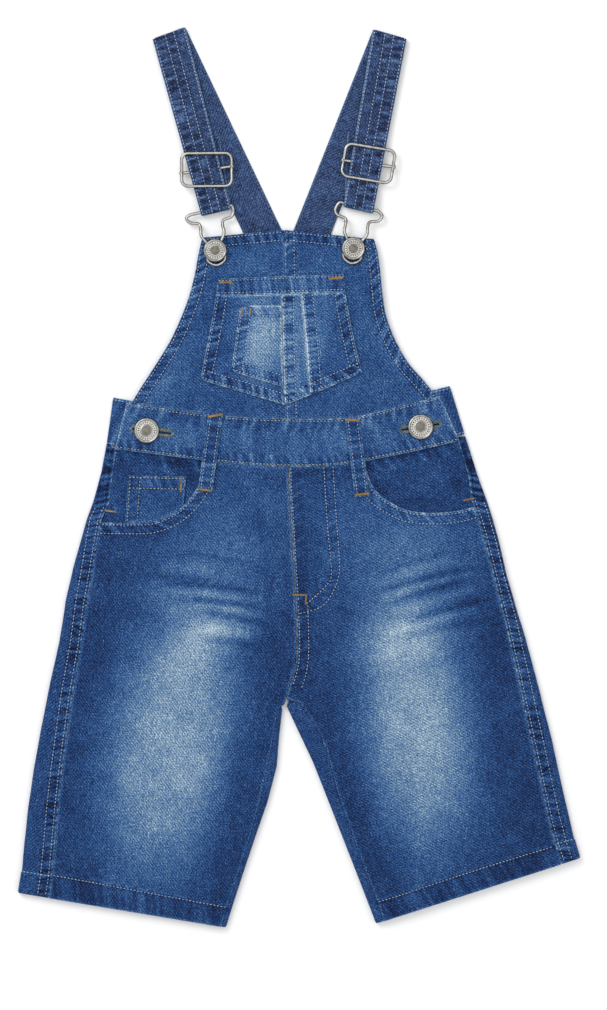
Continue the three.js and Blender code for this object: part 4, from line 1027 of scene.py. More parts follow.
def backLeg(side):
    look, wall = backLook, backLook["wall"]
    seam, hem, seat = look["seam"], look["hem"], look["seat"]
    rows = rowsBetween(legRows[side], legColumns, look["rows"])
    for row in rows:
        row["endTop"] = highTop
    outside, normals, runs, up = turnedWall(rows, wall)
    count = outside.shape[0]
    xy = outside[..., :2].reshape(-1, 2)
    fromEdge = runs                      # 0 at the lip's edge, which is the felled seam
    height = outside[..., 2].copy()
    onTop, below = normals[..., 2] < 0, normals[..., 2] > 0
    s, wave = crumple(up[-1], seam["pitch"], seam["seed"][side])
    bend = -np.interp(up[:, None] + seam["slant"] * fromEdge, s, wave)   # narrow dents
    strip = (1 - smooth(seam["from"], seam["to"], fromEdge)) * (height > layers["front"] - 1)
    onLip = (fromEdge < look["lipWidth"]) & onTop
    groove = sum(np.exp(-((fromEdge - at) / look["bedWidth"])**2) for at in look["stitches"])
    hemLow = 1 - smooth(0, 0.5, up - hem["at"])[:, None]
    lift = strip * (layers["seam"] + seam["depth"] * bend) - look["bedDepth"] * groove * onLip
    lift = lift + hem["rise"] * hemLow * onLip
    lift += clothLook["rise"] * ripple(xy, 30, 5).reshape(height.shape) * onLip
    tone = look["tone"] + clothLook["dye"] * ripple(xy, 30, 8).reshape(height.shape)
    # pucker wear on the felled strip, less a painted shade in its stitch grooves
    worn = strip * (seam["wear"] * bend + seam["shade"]) - look["bedPaintedShade"] * groove * onLip
    # the lip's fold edge is paler, partly wear and partly a painted highlight
    tone += worn + look["ridge"] * np.exp(-(fromEdge / look["ridgeWidth"])**2)
    hemS, hemWave = crumple(runs[0, -1], hem["pitch"], hem["seed"])
    roping = np.interp(fromEdge + up[:, None], hemS, hemWave)
    tone += hemLow * (hem["wear"] * roping + hem["shade"])
    faded = np.exp(-((fromEdge - runs[:, -1:] / 2) / seat["wide"])**2)
    faded = faded * np.exp(-((up[:, None] - seat["at"]) / seat["tall"])**2)
    tone += seat["tone"] * faded * below
    for at, wide, amount in look["creases"]:
        tone += amount * (np.exp(-((up[:, None] + 0.08 * (fromEdge - 60) - at) / wide)**2) * below)
    outside = outside - normals * lift[..., None] * onTop[..., None]
    inside = outside + normals * (layers["ply"] + lift[..., None] * onLip[..., None])
    roundRims(outside, inside)
    low = underWaist(layers["gap"])
    middle = (outside[:-1, :-1, :2] + outside[1:, 1:, :2]) / 2
    limit = np.interp(middle[..., 0], low[:, 0], low[:, 1])
    piece = addMesh(f"backLeg{side.title()}", np.vstack([outside.reshape(-1, 3), inside.reshape(-1, 3)]),
                    closeWall(outside.shape, middle[..., 1] > limit), [denim])
    grains = np.stack([runs, np.repeat(up[:, None], runs.shape[1], 1)], 2).reshape(-1, 2)
    tones = np.concatenate([tone.ravel(), np.full(tone.size, look["insideTone"])])
    area = np.trapz(runs[:, -1], up) * look["filled"]
    finishCloth(piece, tones, np.vstack([grains, grains]), f"back_leg_{side}",
                (runs[:, -1].max(), up[-1]), area, [f"back_leg_{side}"])
    tidyUp(piece)
    # stitched rows on the felled seam, and round the hem
    rows = []
    for where in look["stitches"]:
        line = []
        for r in range(2, count - look["stitchEnd"][side]):
            k = np.interp(where, fromEdge[r, :wall["lip"]], np.arange(wall["lip"]))
            i = int(min(k, wall["lip"] - 2))
            line.append(mix(outside[r, i], outside[r, i + 1], k - i))
        rows.append(np.array(line))
    r = int(np.searchsorted(up, hem["at"]))
    rows.append(outside[r, 1:wall["lip"] + 2])
    seams["cream"].setdefault(f"back_leg_{side}", []).extend(rows)
    under = outside[r, wall["lip"] + 6:wall["lip"] + 66]
    centre = [outside[int(q), -12] for q in np.linspace(130, count - 30, 60)]
    seams["under"].setdefault(f"back_leg_{side}", []).extend([under, np.array(centre)])


waistLook = {"wall": {"lip": 28, "under": 110, "innerLip": 26}, "wrap": 34, "pitch": 7, "seed": 75,
             "tone": 0.39, "wear": 0.3, "rim": 0.2, "insideTone": 0.1}


def backWaistband():
    look, wall = waistLook, waistLook["wall"]
    low, high = waistEdges["low"], waistEdges["high"]
    rows = []
    for v in np.linspace(0, 1, 24):
        rows.append({"outerX": mix(low[0][0], high[0][0], v), "outerY": mix(low[0][1], high[0][1], v),
                     "innerX": mix(low[1][0], high[1][0], v), "innerY": mix(low[1][1], high[1][1], v),
                     "wrapOut": look["wrap"], "wrapIn": look["wrap"], "curl": 1, "top": lowTop,
                     "endTop": lowTop, "sag": mix(low[2], high[2], v)})
    outside, normals, runs, up = turnedWall(rows, wall, lambda row, t: row["sag"] * 4 * t * (1 - t))
    inside = outside + normals * layers["ply"]
    s, wave = crumple(runs[0, -1], look["pitch"], look["seed"])
    bend = np.interp(runs + 0.3 * up[:, None], s, wave)
    rims = np.exp(-up[:, None]**2) + np.exp(-(up[-1] - up[:, None])**2)
    tone = look["tone"] + look["wear"] * bend + look["rim"] * rims
    roundRims(outside, inside)
    piece = addMesh("backWaistband", np.vstack([outside.reshape(-1, 3), inside.reshape(-1, 3)]),
                    closeWall(outside.shape), [denim])
    grains = np.stack([runs, np.repeat(up[:, None], runs.shape[1], 1)], 2).reshape(-1, 2)
    finishCloth(piece, np.concatenate([tone.ravel(), tone.ravel() + look["insideTone"]]),
                np.vstack([grains, grains]), "back_waistband", (runs.max(), up[-1]),
                runs.max() * up[-1], ["back_waistband"])
    tidyUp(piece)
    ends = slice(1, wall["lip"] + 5), slice(-wall["innerLip"] - 4, -1)
    seams["cream"]["back_waistband"] = [outside[row, end] for end in ends for row in (1, -2)]
    below = slice(wall["lip"] + 10, -wall["innerLip"] - 10)
    seams["under"]["back_waistband"] = [outside[row, below] for row in (1, -2)]


backLeg("left")
backLeg("right")
backWaistband()
print("back cloth laid")


# belt loops

beltLoops = {"width": 9.6, "top": {"left": (-54.2, 41.6), "right": (34.6, 39.4)},
             "end": {"left": (-61, -8), "right": (41, -11.8)}, "bandEnd": 33, "onLeg": 37, "flyRaise": 0.4,
             "pitch": 6, "seed": {"left": 81, "right": 82}, "depth": 0.16, "bedAt": 0.3, "bedWidth": 0.5,
             "bedDepth": 0.18, "bedPaintedShade": 0.12, "tone": 0.33, "wear": 0.34, "rim": 0.26}


def beltLoop(side):
    look = beltLoops
    top, end = np.array(look["top"][side]), np.array(look["end"][side])
    length = np.linalg.norm(end - top)
    reach = (end - top) / length
    across = np.array([reach[1], -reach[0]])
    v = np.linspace(0, length, 46)
    u = np.linspace(-0.5, 0.5, 11)
    s, wave = crumple(length, look["pitch"], look["seed"][side])
    xy = top + v[:, None, None] * reach + (u[None, :, None] * look["width"]) * across
    onLeg = frontUnder(xy.reshape(-1, 2)).reshape(len(v), len(u))
    onLeg = onLeg + layers["ply"] + look["flyRaise"] + layers["gap"]
    over = layers["front"] + layers["band"] + layers["gap"]
    height = mix(over, onLeg, smooth(look["bandEnd"], look["onLeg"], v)[:, None])
    bend = np.interp(v, s, wave)[:, None]
    belly = 1 - (2 * u[None])**2
    groove = np.exp(-((np.abs(u) - look["bedAt"]) * look["width"] / look["bedWidth"])**2)[None]
    upper = height + layers["ply"] + look["depth"] * bend * belly - look["bedDepth"] * groove
    outside, inside = np.dstack([xy, upper]), np.dstack([xy, height])
    roundRims(outside, inside)
    piece = addMesh(f"beltLoop{side.title()}", np.vstack([outside.reshape(-1, 3), inside.reshape(-1, 3)]),
                    closeWall(outside.shape), [denim])
    rim = np.exp(-((0.5 - np.abs(u)) * 9 / 0.9)**2)[None]
    # the stitch grooves get a painted shade
    tone = look["tone"] + look["wear"] * bend + look["rim"] * rim - look["bedPaintedShade"] * groove
    grains = np.stack([np.repeat(u[None] * look["width"], len(v), 0), np.repeat(v[:, None], len(u), 1)], 2)
    grains = grains.reshape(-1, 2)
    finishCloth(piece, np.concatenate([tone.ravel()] * 2), np.vstack([grains, grains]), f"belt_loop_{side}",
                (look["width"] + 0.6, length), look["width"] * length,
                ["front_waistband", f"front_leg_{side}"])
    tidyUp(piece)
    seams["cream"][f"belt_loop_{side}"] = [outside[1:-1, 2], outside[1:-1, -3]]


# straps

strapLook = {
    "rows": {"left": ((-54.4, 175.4), (-84.2, 288.3), 13, 20, 0.04, 26.5),
             "right": ((38.9, 177.0), (58.8, 287.6), -13, -15.8, -0.23, 27.5)},
    "rise": [(0, 5.9), (4, 5.8), (15, 3.9), (17, 3.9), (26.5, 6.2), (36, 3.9), (38, 3.9), (56, 3.6)],
    "crest": 26.5,   # where that table goes over the slider's bar
    "width": {"back": 23.7, "shoulder": 22.5, "hook": 19.8},
    "shoulderRadius": 1.5, "tailHeight": 2.1, "tailLength": 46, "end": 160, "yokeTop": 157.4,
    "stitches": {"left": (0.06, 0.38, 0.64, 0.95), "right": (0.05, 0.36, 0.62, 0.94)},
    "puckers": {"left": ((4.0, 91), (4.4, 93)), "right": ((4.0, 92), (4.4, 94))},   # pitch and seed
    "depth": 0.24, "bedWidth": 0.5, "bedDepth": 0.14, "bedPaintedShade": 0.1,
    "tone": {"front": 0.24, "back": 0.31}, "wear": {"front": 0.48, "back": 0.14}, "insideTone": -0.03,
    "rim": {"neck": 0.46, "outer": 0.22},   # the edge next to the neck is the paler one
}


def strapHeight(at):
    rise = strapLook["rise"]
    for (a, ha), (b, hb) in zip(rise[:-1], rise[1:]):
        if at < b:
            return mix(ha, hb, float(smooth(a, b, max(at, a))))
    return rise[-1][1]


def strap(side):
    look, wide = strapLook, strapLook["width"]
    bar, top, barTurn, foldTurn, drift, sliderAt = look["rows"][side]
    bar, top = np.array(bar), np.array(top)
    length = np.linalg.norm(top - bar)
    run = (top - bar) / length
    across = np.array([run[1], -run[0]])

    def facing(turn, sign):
        a = math.radians(turn)
        return np.array([-math.sin(a) * sign, math.cos(a) * sign])

    barRadius = (strapHeight(0) - look["tailHeight"]) / 2
    ends = [(bar, facing(barTurn, -1), barRadius, drift),
            (top, facing(foldTurn, 1), look["shoulderRadius"], 0)]

    def place(at, aside):
        flat = bar + run * at + across * aside
        height = strapHeight(at + look["crest"] - sliderAt)
        normal = np.array([0, 0, 1.0])
        for point, out, radius, slide in ends:
            past = float((flat - point) @ out)
            if past <= 0:
                continue
            angle = min(past / radius, math.pi)
            back = max(past - math.pi * radius, 0)
            flat = flat + out * (radius * math.sin(angle) - back - past) + across * slide * back
            height -= radius * (1 - math.cos(angle))
            normal = np.array([*(out * math.sin(angle)), math.cos(angle)])
        return np.array([*flat, height]), normal

    turn = math.pi * barRadius
    shoulder = length + math.pi * look["shoulderRadius"]
    stations = np.concatenate([
        np.arange(-look["tailLength"] - turn, -turn - 3.2, 1.6), np.arange(-turn - 3, 3, 0.6),
        np.arange(3, length - 4, 1.25), np.arange(length - 4, shoulder + 4, 0.6),
        np.arange(shoulder + 5, length + look["end"], 1.8)])
    u = np.linspace(-0.5, 0.5, 21)
    first, second = (crumple(length + 240, *pucker) for pucker in look["puckers"][side])
    outside, inside, tone, grains = [], [], [], []
    stitchAt = look["stitches"][side]
    outer = -1 if side == "left" else 1
    half = layers["ply"] / 2
    for at in stations:
        width = mix(wide["hook"], wide["shoulder"], max(at, 0) / length) if at < length else \
            mix(wide["shoulder"], wide["back"], min((at - length) / look["end"], 1))
        stretch = "front" if at < shoulder - 2 else "back"
        left, right = np.interp(at + 80, *first), np.interp(at + 80, *second)
        for a in u:
            point, normal = place(at, a * width)
            bend = 1.3 * left * np.exp(-((a - outer * 0.3) / 0.15)**2)
            bend += right * np.exp(-((a + outer * 0.02) / 0.12)**2)
            bend += 0.45 * (left - right) * np.exp(-((a + outer * 0.32) / 0.1)**2)
            groove = sum(math.exp(-((a + 0.5 - w) * width / look["bedWidth"])**2) for w in stitchAt)
            rim = min(0.5 - a, a + 0.5) * width
            crown = 1 - max(0, 1 - rim / 0.6)**2 * 0.75
            lift = (look["depth"] * bend - look["bedDepth"] * groove) * (1 if at > 3 else 0.3)
            outside.append(point + normal * (half * crown + lift))
            inside.append(point - normal * (half * crown - 0.4 * lift))
            worn = look["rim"]["neck" if stretch == "front" and a * outer < 0 else "outer"]
            # the stitch grooves get a painted shade
            tone.append(look["tone"][stretch] + look["wear"][stretch] * bend - look["bedPaintedShade"] * groove
                        + worn * math.exp(-(rim / 0.9)**2))
            grains.append((a * width, at))
    outside = np.array(outside).reshape(len(stations), len(u), 3)
    inside = np.array(inside).reshape(len(stations), len(u), 3)
    centre = (outside + inside)[:, :, :2] / 2
    yokeTop = look["yokeTop"] + layers["gap"]
    low = (centre[:-1, :-1, 1] + centre[1:, 1:, 1]) / 2 < yokeTop
    low[:int(len(stations) * 0.6)] = False
    piece = addMesh(f"strap{side.title()}", np.vstack([outside.reshape(-1, 3), inside.reshape(-1, 3)]),
                    closeWall(outside.shape, low), [denimCord])
    tones, cut = np.array(tone), stations[-1] - stations[0]
    finishCloth(piece, np.concatenate([tones, tones + look["insideTone"]]), np.array(grains + grains),
                f"strap_{side}", (22.5, cut), 22 * (cut - 24), ["back_bib", f"hook_{side}"])
    tidyUp(piece)
    last, middle = len(u) - 1, len(u) // 2
    shown = [i for i in range(2, len(stations) - 1)
             if outside[i, middle, 1] > yokeTop + 2 or i < len(stations) * 0.6]
    hidden = [i for i in range(len(stations))
              if stations[i] > shoulder + 6 and inside[i, middle, 1] > yokeTop + 2]
    for w in stitchAt:
        k = int(w * last)
        line = [mix(outside[i, k], outside[i, min(k + 1, last)], w * last - k) for i in shown]
        seams["cream"].setdefault(f"strap_{side}", []).append(np.array(line))
        seams["inner"].setdefault(f"strap_{side}", []).append(inside[hidden, int(round(w * last))])


for side in ("left", "right"):
    beltLoop(side)
    strap(side)
print("belt loops and straps laid")


# thread: each stitch is a small closed spindle with its ends sunk in the cloth

stitchLook = {"pitch": 2.3, "length": 1.5, "radius": 0.23, "sides": 5,
              "rings": ((0.0, 0.45, -0.4), (0.25, 1.0, 0.3), (0.75, 1.0, 0.3), (1.0, 0.45, -0.4))}


def stitchesOn(lines, look, rng):
    # both ends and the middle of every stitch on some lines in space
    blocks = []
    for line in lines:
        if len(line) < 3:
            continue
        run = np.concatenate([[0], np.cumsum(np.linalg.norm(np.diff(line, axis=0), axis=1))])
        at = 0.4
        while at + look["length"] < run[-1]:
            long = look["length"] * rng.uniform(0.9, 1.05)
            blocks.append([np.array([np.interp(place, run, line[:, k]) for k in range(3)])
                           for place in (at, at + long, at + long / 2)])
            at += look["pitch"] * rng.uniform(0.97, 1.03)
    return blocks


def spindles(name, blocks, look, material, up=(0, 0, 1)):
    sides, rings = look["sides"], look["rings"]
    points, faces = [], []
    up = np.array(up, float)
    turn = np.linspace(0, 2 * math.pi, sides, endpoint=False)
    for a, b, middle in blocks:
        along = (b - a) / (np.linalg.norm(b - a) + 1e-9)
        wide = np.cross(along, up)
        wide /= np.linalg.norm(wide) + 1e-9
        tall = np.cross(wide, along)
        if tall @ up < 0:
            tall, wide = -tall, -wide
        base = len(points)
        for t, grow, lift in rings:
            bow = middle - (a + b) / 2
            centre = mix(a, b, t) + bow * (1 if 0 < t < 1 else 0) + tall * lift * look["radius"]
            for angle in turn:
                spoke = wide * math.cos(angle) + tall * 0.8 * math.sin(angle)
                points.append(centre + spoke * look["radius"] * grow)
        for r in range(len(rings) - 1):
            for k in range(sides):
                p, q = base + r * sides + k, base + r * sides + (k + 1) % sides
                faces.append((p, q, q + sides, p + sides))
        faces.append(tuple(base + k for k in range(sides))[::-1])
        faces.append(tuple(base + (len(rings) - 1) * sides + k for k in range(sides)))
    piece = addMesh(name, np.array(points), faces, [material])
    tidyUp(piece)
    piece.data.polygons.foreach_set("use_smooth", [True] * len(piece.data.polygons))
    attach(piece, "root")
    return piece


rng = random.Random(5)
threads = {"cream": (creamThread, (0, 0, 1)), "straw": (strawThread, (0, 0, 1)),
           "under": (creamThread, (0, 0, -1)), "inner": (blueThread, (0, 0, 1))}
for kind, byNode in seams.items():
    material, up = threads[kind]
    for node, lines in byNode.items():
        blocks = stitchesOn(lines, stitchLook, rng)
        if not blocks:
            continue
        name = "stitches" + kind.title() + "".join(word.title() for word in node.split("_"))
        laid[node]["with"].append(spindles(name, blocks, stitchLook, material, up))
print("rows sewn")

# bar tacks: close zigzags of heavier thread, on the piece named
barTacks = [  # node, from, to, width
    ("belt_loop_left", (-58.9, 40.4), (-49.6, 41.8), 1.7),
    ("belt_loop_left", (-65.6, -6.6), (-56.6, -7.8), 1.6),
    ("belt_loop_right", (30.0, 38.4), (39.2, 38.0), 1.7),
    ("belt_loop_right", (36.4, -10.4), (45.2, -9.4), 1.6),
    ("bib_pocket_band", (-51.5, 127.8), (-43.2, 127.6), 1.9),
    ("bib_pocket_band", (19.2, 130.0), (28.6, 130.8), 1.9),
    ("small_pocket", (-36.8, 110.6), (-37.6, 105.6), 1.0),
    ("small_pocket", (-31.6, 110.6), (-32.0, 105.6), 1.0), ("coin_pocket", (-76.4, 0.4), (-77.0, -8.6), 1.3),
    ("pocket_facing_left", (-126.5, -20.5), (-118.5, -21.5), 1.2),
    ("pocket_facing_right", (107.0, -14.0), (114.5, -12.4), 1.2),
    ("front_leg_right", (-4.2, -75.2), (4.4, -75.4), 1.2),
    ("front_leg_right", (4.6, -75.4), (4.4, -81.6), 1.0),
]
tackLook = {"pitch": 0.55, "radius": 0.33, "sides": 5, "proud": 0.12, "coreProud": 0.05,
            "rings": ((0.0, 0.5, -0.2), (0.3, 1.0, 0.4), (0.7, 1.0, 0.4), (1.0, 0.5, -0.2))}
tops = {panel["node"]: panel for panel in flatPanels}


def heightOn(node, xy):
    if node in tops:
        return surfaceOf(tops[node], xy)[0]
    onBand = xy[:, 1] > 8   # a belt loop, on the waistband or on the leg
    over = layers["front"] + layers["band"] + layers["gap"] + layers["ply"]
    onLeg = frontUnder(xy) + 2 * layers["ply"] + beltLoops["flyRaise"] + layers["gap"]
    return np.where(onBand, over, onLeg)


for i, (node, start, end, wide) in enumerate(barTacks):
    start, end = np.array(start, float), np.array(end, float)
    length = np.linalg.norm(end - start)
    along = (end - start) / length
    across = np.array([-along[1], along[0]])
    count = int(length / tackLook["pitch"])
    blocks = []
    for k in range(count):
        centre = start + along * (k + 0.5) * tackLook["pitch"]
        slant = along * tackLook["pitch"] * (0.5 if k % 2 else -0.5)
        ends = np.array([centre - across * wide / 2 - slant, centre + across * wide / 2 + slant, centre])
        blocks.append(np.column_stack([ends, heightOn(node, ends) + tackLook["proud"]]))
    core = np.array([start, end, (start + end) / 2])
    blocks.append(np.column_stack([core, heightOn(node, core) + tackLook["coreProud"]]))
    laid[node]["with"].append(spindles(f"barTack{i + 1}", blocks, tackLook, goldThread))

# buttonholes: stitches laid side by side along both lips of the slit
buttonAt = {"shoulder": {"left": (-54.4, 148.2), "right": (35.2, 149.4)},
            "side": {"left": (-98.9, 31.4), "right": (78.9, 33.8)}}
holes = {"left": (-9.5, 16, -7), "right": (12.5, -12.5, 9)}   # from and to, beside the button, and turn
holeLook = {"pitch": 0.62, "reach": 1.9, "radius": 0.3, "sides": 5, "rings": tackLook["rings"],
            "eye": 2.75, "slit": 0.85, "proud": 0.12}
for side, (holeOut, holeIn, turn) in holes.items():
    x, y = buttonAt["side"][side]
    angle = math.radians(turn)
    c, s = math.cos(angle), math.sin(angle)
    low, high = min(holeOut, holeIn), max(holeOut, holeIn)
    edge = []
    for a in np.arange(low, high, holeLook["pitch"]):
        half = max(holeLook["slit"], math.sqrt(max(holeLook["eye"]**2 - a * a, 0)))
        edge += [((a, half), (0, 1)), ((a, -half), (0, -1))]
    for end, way in ((low, -1), (high, 1)):
        edge += [((end, b), (way, 0)) for b in (-0.5, 0, 0.5)]
    blocks = []
    for (a, b), (da, db) in edge:
        ends = []
        for reach in (0.0, holeLook["reach"], holeLook["reach"] / 2):
            p, q = a + da * reach, b + db * reach
            ends.append((x + p * c - q * s, y + p * s + q * c))
        height = layers["front"] + layers["band"] + holeLook["proud"]
        blocks.append(np.column_stack([ends, np.full(len(ends), height)]))
    sewn = spindles(f"buttonhole{side.title()}", blocks, holeLook, holeThread)
    laid["front_waistband"]["with"].append(sewn)
print("tacks and buttonholes sewn")


# hardware

wireLook = {"radius": 1.0, "bevel": 4}
sliderLook = {"halfX": 16.2, "halfY": 10.7, "corner": 4.2, "height": 5.8, "barHeight": 4.3, "knob": 1.5,
              "rows": {"left": (-60, 200.9, 0.5, 8), "right": (45, 205, -9.5, -7.6)}}
hookLook = {
    "half": [(0, -9.4), (5.0, -6.8), (5.8, -2.2), (4.5, 4.6), (7.4, 10.4), (7.2, 15.6), (8.2, 19.0),
             (13.6, 20.6), (15.4, 24.0)],
    "ringHeight": layers["front"] + layers["ply"] + layers["hem"] + layers["gap"] + wireLook["radius"],
    "barHeight": 4.0, "ramp": (11, 20), "inset": 4,
    "rows": {"left": (8.5, -16.5, 10.6), "right": (-8.5, -12.8, 12.8)},   # turn, and the bar's ends
}


def wireAlong(name, points, closed):
    # a bent wire: a curve with a round bevel, made a mesh
    bpy.ops.object.select_all(action="DESELECT")
    bent = bpy.data.curves.new(name, "CURVE")
    bent.dimensions = "3D"
    bent.bevel_depth = wireLook["radius"] * mm
    bent.bevel_resolution = wireLook["bevel"]
    bent.use_fill_caps = not closed
    spline = bent.splines.new("POLY")
    spline.points.add(len(points) - 1)
    for knot, (x, y, z) in zip(spline.points, points):
        knot.co = (x * mm, y * mm, z * mm, 1)
    spline.use_cyclic_u = closed
    wire = bpy.data.objects.new(name, bent)
    bpy.context.scene.collection.objects.link(wire)
    wire.select_set(True)
    bpy.context.view_layer.objects.active = wire
    bpy.ops.object.convert(target="MESH")
    wire = bpy.context.object
    wire.data.polygons.foreach_set("use_smooth", [True] * len(wire.data.polygons))
    return wire


def loopCurve(points, step=0.6):
    p = np.array(points, float)
    wrapped = np.vstack([p[-3:], p, p[:3]])
    line = curve(wrapped, 0.2)
    half = len(line) // 2
    start = np.linalg.norm(line[:half] - p[0], axis=1).argmin()
    end = half + np.linalg.norm(line[half:] - p[-1], axis=1).argmin()
    loop = line[start:end + 1]
    tail = curve(np.vstack([p[-2:], p[:2]]), 0.2)
    tail = tail[np.linalg.norm(tail - p[-1], axis=1).argmin():np.linalg.norm(tail - p[0], axis=1).argmin()]
    return resample(np.vstack([loop, tail[1:]]), step, True)


def knobAt(point, out, radius):
    # the peened end of a bar: a turned button of metal
    bpy.ops.object.select_all(action="DESELECT")
    bpy.ops.mesh.primitive_uv_sphere_add(segments=16, ring_count=10, radius=radius * mm)
    knob = bpy.context.object
    bpy.ops.object.mode_set(mode="EDIT")
    bpy.ops.mesh.select_all(action="SELECT")
    bpy.ops.transform.resize(value=(0.8, 1, 1))
    bpy.ops.object.mode_set(mode="OBJECT")
    turn = Matrix.Rotation(math.atan2(out[1], out[0]), 4, "Z")
    knob.data.transform(Matrix.Translation(Vector(point) * mm) @ turn)
    knob.data.polygons.foreach_set("use_smooth", [True] * len(knob.data.polygons))
    return knob


def joined(name, parts, materials):
    bpy.ops.object.select_all(action="DESELECT")
    for piece in parts:
        piece.select_set(True)
    bpy.context.view_layer.objects.active = parts[0]
    if len(parts) > 1:
        bpy.ops.object.join()
    whole = bpy.context.object
    whole.name = whole.data.name = name
    whole.data.materials.clear()
    for material in materials:
        whole.data.materials.append(material)
    return whole


def hardware(piece, node):
    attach(piece, "root")
    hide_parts(node)


def slider(side):
    x, y, turn, barTurn = sliderLook["rows"][side]
    halfX, halfY, corner = sliderLook["halfX"], sliderLook["halfY"], sliderLook["corner"]
    points = []
    for signX, signY, start in ((1, -1, -90), (1, 1, 0), (-1, 1, 90), (-1, -1, 180)):
        for t in np.linspace(0, 1, 8):
            a = math.radians(start + 90 * t)
            points.append((signX * (halfX - corner) + corner * math.cos(a),
                           signY * (halfY - corner) + corner * math.sin(a)))
    ring = resample(np.array(points), 0.6, True)
    dip = sliderLook["height"] - sliderLook["barHeight"] - 0.3
    height = sliderLook["height"] - dip * np.exp(-(ring[:, 1] / 4.5)**2) * (np.abs(ring[:, 0]) > halfX - 1)
    c, s = math.cos(math.radians(turn)), math.sin(math.radians(turn))
    placed = np.column_stack([x + ring[:, 0] * c - ring[:, 1] * s, y + ring[:, 0] * s + ring[:, 1] * c,
                              height])
    frameWire = wireAlong(f"sliderFrame{side}", placed, True)
    c, s = math.cos(math.radians(barTurn)), math.sin(math.radians(barTurn))
    half = halfX + 0.6
    bar = [(x + a * c, y + a * s, sliderLook["barHeight"]) for a in np.linspace(-half, half, 24)]
    parts = [frameWire, wireAlong(f"sliderBar{side}", bar, False)]
    parts += [knobAt((x + a * c, y + a * s, sliderLook["barHeight"] + 0.3), (c, s), sliderLook["knob"])
              for a in (-half, half)]
    hardware(joined(f"slider{side.title()}", parts, [nickel]), f"slider_{side}")


def hook(side):
    x, y = buttonAt["shoulder"][side]
    turn, barFrom, barTo = hookLook["rows"][side]
    c, s = math.cos(math.radians(turn)), math.sin(math.radians(turn))
    low, high = hookLook["ramp"]

    def place(out, up):
        z = mix(hookLook["ringHeight"], hookLook["barHeight"], float(smooth(low, high, up)))
        return (x + out * c - up * s, y + out * s + up * c, z)

    strapBar = strapLook["rows"][side][0]
    a = math.radians(strapLook["rows"][side][2])
    bar = [(strapBar[0] + at * math.cos(a), strapBar[1] + at * math.sin(a), hookLook["barHeight"])
           for at in (barTo, barTo - hookLook["inset"], barFrom + hookLook["inset"], barFrom)]
    right = [place(out, up) for out, up in hookLook["half"]]
    left = [place(-out, up) for out, up in hookLook["half"][:0:-1]]
    wire = wireAlong(f"hookWire{side}", loopCurve(right + bar + left), True)
    hardware(joined(f"hook{side.title()}", [wire], [nickel]), f"hook_{side}")


buttonLook = {
    "shoulder": {"radius": 7.6, "shank": 3.0, "height": 2.2, "dots": 20,
                 "foot": hookLook["ringHeight"] - wireLook["radius"],
                 "head": hookLook["ringHeight"] + wireLook["radius"] + layers["gap"]},
    "side": {"radius": 8.3, "shank": 2.2, "height": 2.4, "dots": 22,
             "foot": lowTop + layers["gap"], "head": layers["front"] + layers["band"] + layers["gap"]},
    "dot": {"radius": 0.5, "shape": (1.25, 0.8, 0.7), "inset": 2.9, "sunk": 0.45}, "darkCentre": 0.38,
}


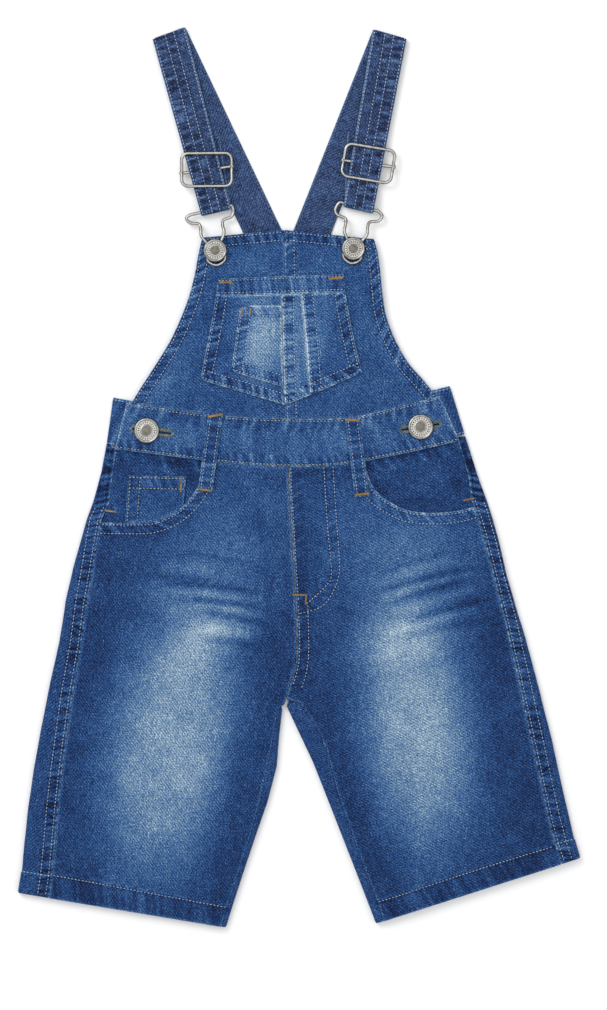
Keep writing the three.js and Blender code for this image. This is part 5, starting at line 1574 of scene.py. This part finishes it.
def button(kind, side):
    look, dotLook = buttonLook[kind], buttonLook["dot"]
    x, y = buttonAt[kind][side]
    radius, head, height = look["radius"], look["head"], look["height"]
    rim = head + height
    bpy.ops.object.select_all(action="DESELECT")
    bpy.ops.mesh.primitive_circle_add(vertices=56, radius=look["shank"] * mm, fill_type="NGON")
    body = bpy.context.object
    bpy.ops.object.mode_set(mode="EDIT")
    bpy.ops.mesh.select_mode(type="FACE")
    bpy.ops.mesh.select_all(action="SELECT")
    level, size = look["foot"], look["shank"]
    # shank, under the head, round its edge, over the rim, down to the dish, and up the boss
    steps = [(look["shank"], head), (radius - 0.5, head), (radius, head + 0.6), (radius - 0.1, rim - 0.7),
             (radius - 0.5, rim - 0.2), (radius - 1.0, rim), (radius - 1.5, rim - 0.15),
             (radius - 1.9, rim - 0.6), (radius * 0.52, rim - 0.5), (radius * 0.48, rim - 0.2),
             (radius * 0.42, rim - 0.15), (radius * 0.36, rim - 0.55), (radius * 0.24, rim - 0.55),
             (radius * 0.2, rim - 0.35), (radius * 0.08, rim - 0.35)]
    for nextSize, nextLevel in steps:
        bpy.ops.mesh.extrude_region_move(TRANSFORM_OT_translate={"value": (0, 0, (nextLevel - level) * mm)})
        grow = nextSize / size
        bpy.ops.transform.resize(value=(grow, grow, 1), center_override=(0, 0, 0))
        size, level = nextSize, nextLevel
    bpy.ops.object.mode_set(mode="OBJECT")
    body.data.transform(Matrix.Translation((x * mm, y * mm, look["foot"] * mm)))
    bpy.ops.object.select_all(action="DESELECT")
    bpy.ops.mesh.primitive_uv_sphere_add(segments=8, ring_count=6, radius=dotLook["radius"] * mm)
    dots = [bpy.context.object]
    bpy.ops.object.mode_set(mode="EDIT")
    bpy.ops.mesh.select_all(action="SELECT")
    bpy.ops.transform.resize(value=dotLook["shape"])
    bpy.ops.object.mode_set(mode="OBJECT")
    while len(dots) < look["dots"]:
        twin = dots[0].copy()
        twin.data = dots[0].data.copy()
        bpy.context.scene.collection.objects.link(twin)
        dots.append(twin)
    parts = [body] + dots
    ringRadius = radius - dotLook["inset"]
    for k, dot in enumerate(dots):
        a = 2 * math.pi * k / look["dots"]
        place = Matrix.Translation(((x + ringRadius * math.cos(a)) * mm, (y + ringRadius * math.sin(a)) * mm,
                                    (rim - dotLook["sunk"]) * mm)) @ Matrix.Rotation(a, 4, "Z")
        dot.data.transform(place)
    tidyUp(body)
    whole = joined(f"{kind}Button{side.title()}", parts, [nickel, nickelDark])
    for face in whole.data.polygons:
        out = math.hypot(face.center.x / mm - x, face.center.y / mm - y)
        dot = abs(out - ringRadius) < 0.7 and face.area < 0.3 * mm * mm
        gully = out < radius * buttonLook["darkCentre"]
        onFace = face.normal.z > 0.2 and face.center.z / mm > head + 0.5
        face.material_index = 1 if (dot or gully) and onFace else 0
    bpy.ops.object.select_all(action="DESELECT")
    whole.select_set(True)
    bpy.context.view_layer.objects.active = whole
    bpy.ops.object.shade_smooth_by_angle(angle=math.radians(38))
    hardware(whole, f"{kind}_button_{side}")


for side in ("left", "right"):
    slider(side)
    hook(side)
    button("shoulder", side)
    button("side", side)
print("hardware made")


# floor, light and camera

view = {"pixels": (607, 1010), "scale": 0.65, "centre": (2.9, -16.9), "lens": 100, "sensor": 36,
        "above": 0.004}
floorLook = {"size": 3.0, "colour": (0.96, 0.96, 0.96)}
bpy.ops.object.select_all(action="DESELECT")
bpy.ops.mesh.primitive_plane_add(size=floorLook["size"], location=(0, 0, 0))
floor = bpy.context.object
floor.name = "floor"
floor.data.transform(Matrix.Translation((0, 0, -0.0002)))
paper = bpy.data.materials.new("palePaper")
paper.use_nodes = True
paper.node_tree.nodes["Principled BSDF"].inputs["Base Color"].default_value = (*floorLook["colour"], 1)
paper.node_tree.nodes["Principled BSDF"].inputs["Roughness"].default_value = 0.9
paper.node_tree.nodes["Principled BSDF"].inputs["Specular IOR Level"].default_value = 0.1
floor.data.materials.append(paper)

studio = [  # name, place, size, watts
    ("key", (-0.9, 0.9, 1.3), 0.9, 14), ("fill", (1.0, -0.5, 1.6), 1.6, 5), ("top", (0, 0, 2.4), 1.6, 9),
]
for name, place, size, watts in studio:
    bpy.ops.object.light_add(type="AREA", location=place)
    lamp = bpy.context.object
    lamp.name = name
    lamp.data.size = size
    lamp.data.energy = watts
    lamp.rotation_euler = (Vector((0, 0, 0)) - Vector(place)).to_track_quat("-Z", "Y").to_euler()
world = bpy.data.worlds.new("studio")
bpy.context.scene.world = world
world.use_nodes = True
world.node_tree.nodes["Background"].inputs["Color"].default_value = (1, 1, 1, 1)
world.node_tree.nodes["Background"].inputs["Strength"].default_value = 0.64

tall = view["pixels"][1] * view["scale"] * mm
away = tall * view["lens"] / view["sensor"] + view["above"]
bpy.ops.object.camera_add(location=(view["centre"][0] * mm, view["centre"][1] * mm, away))
camera = bpy.context.object
camera.data.lens = view["lens"]
camera.data.sensor_width = view["sensor"]
camera.data.clip_end = 10
bpy.context.scene.camera = camera
bpy.context.scene.view_settings.view_transform = "Standard"

print("scene ready")
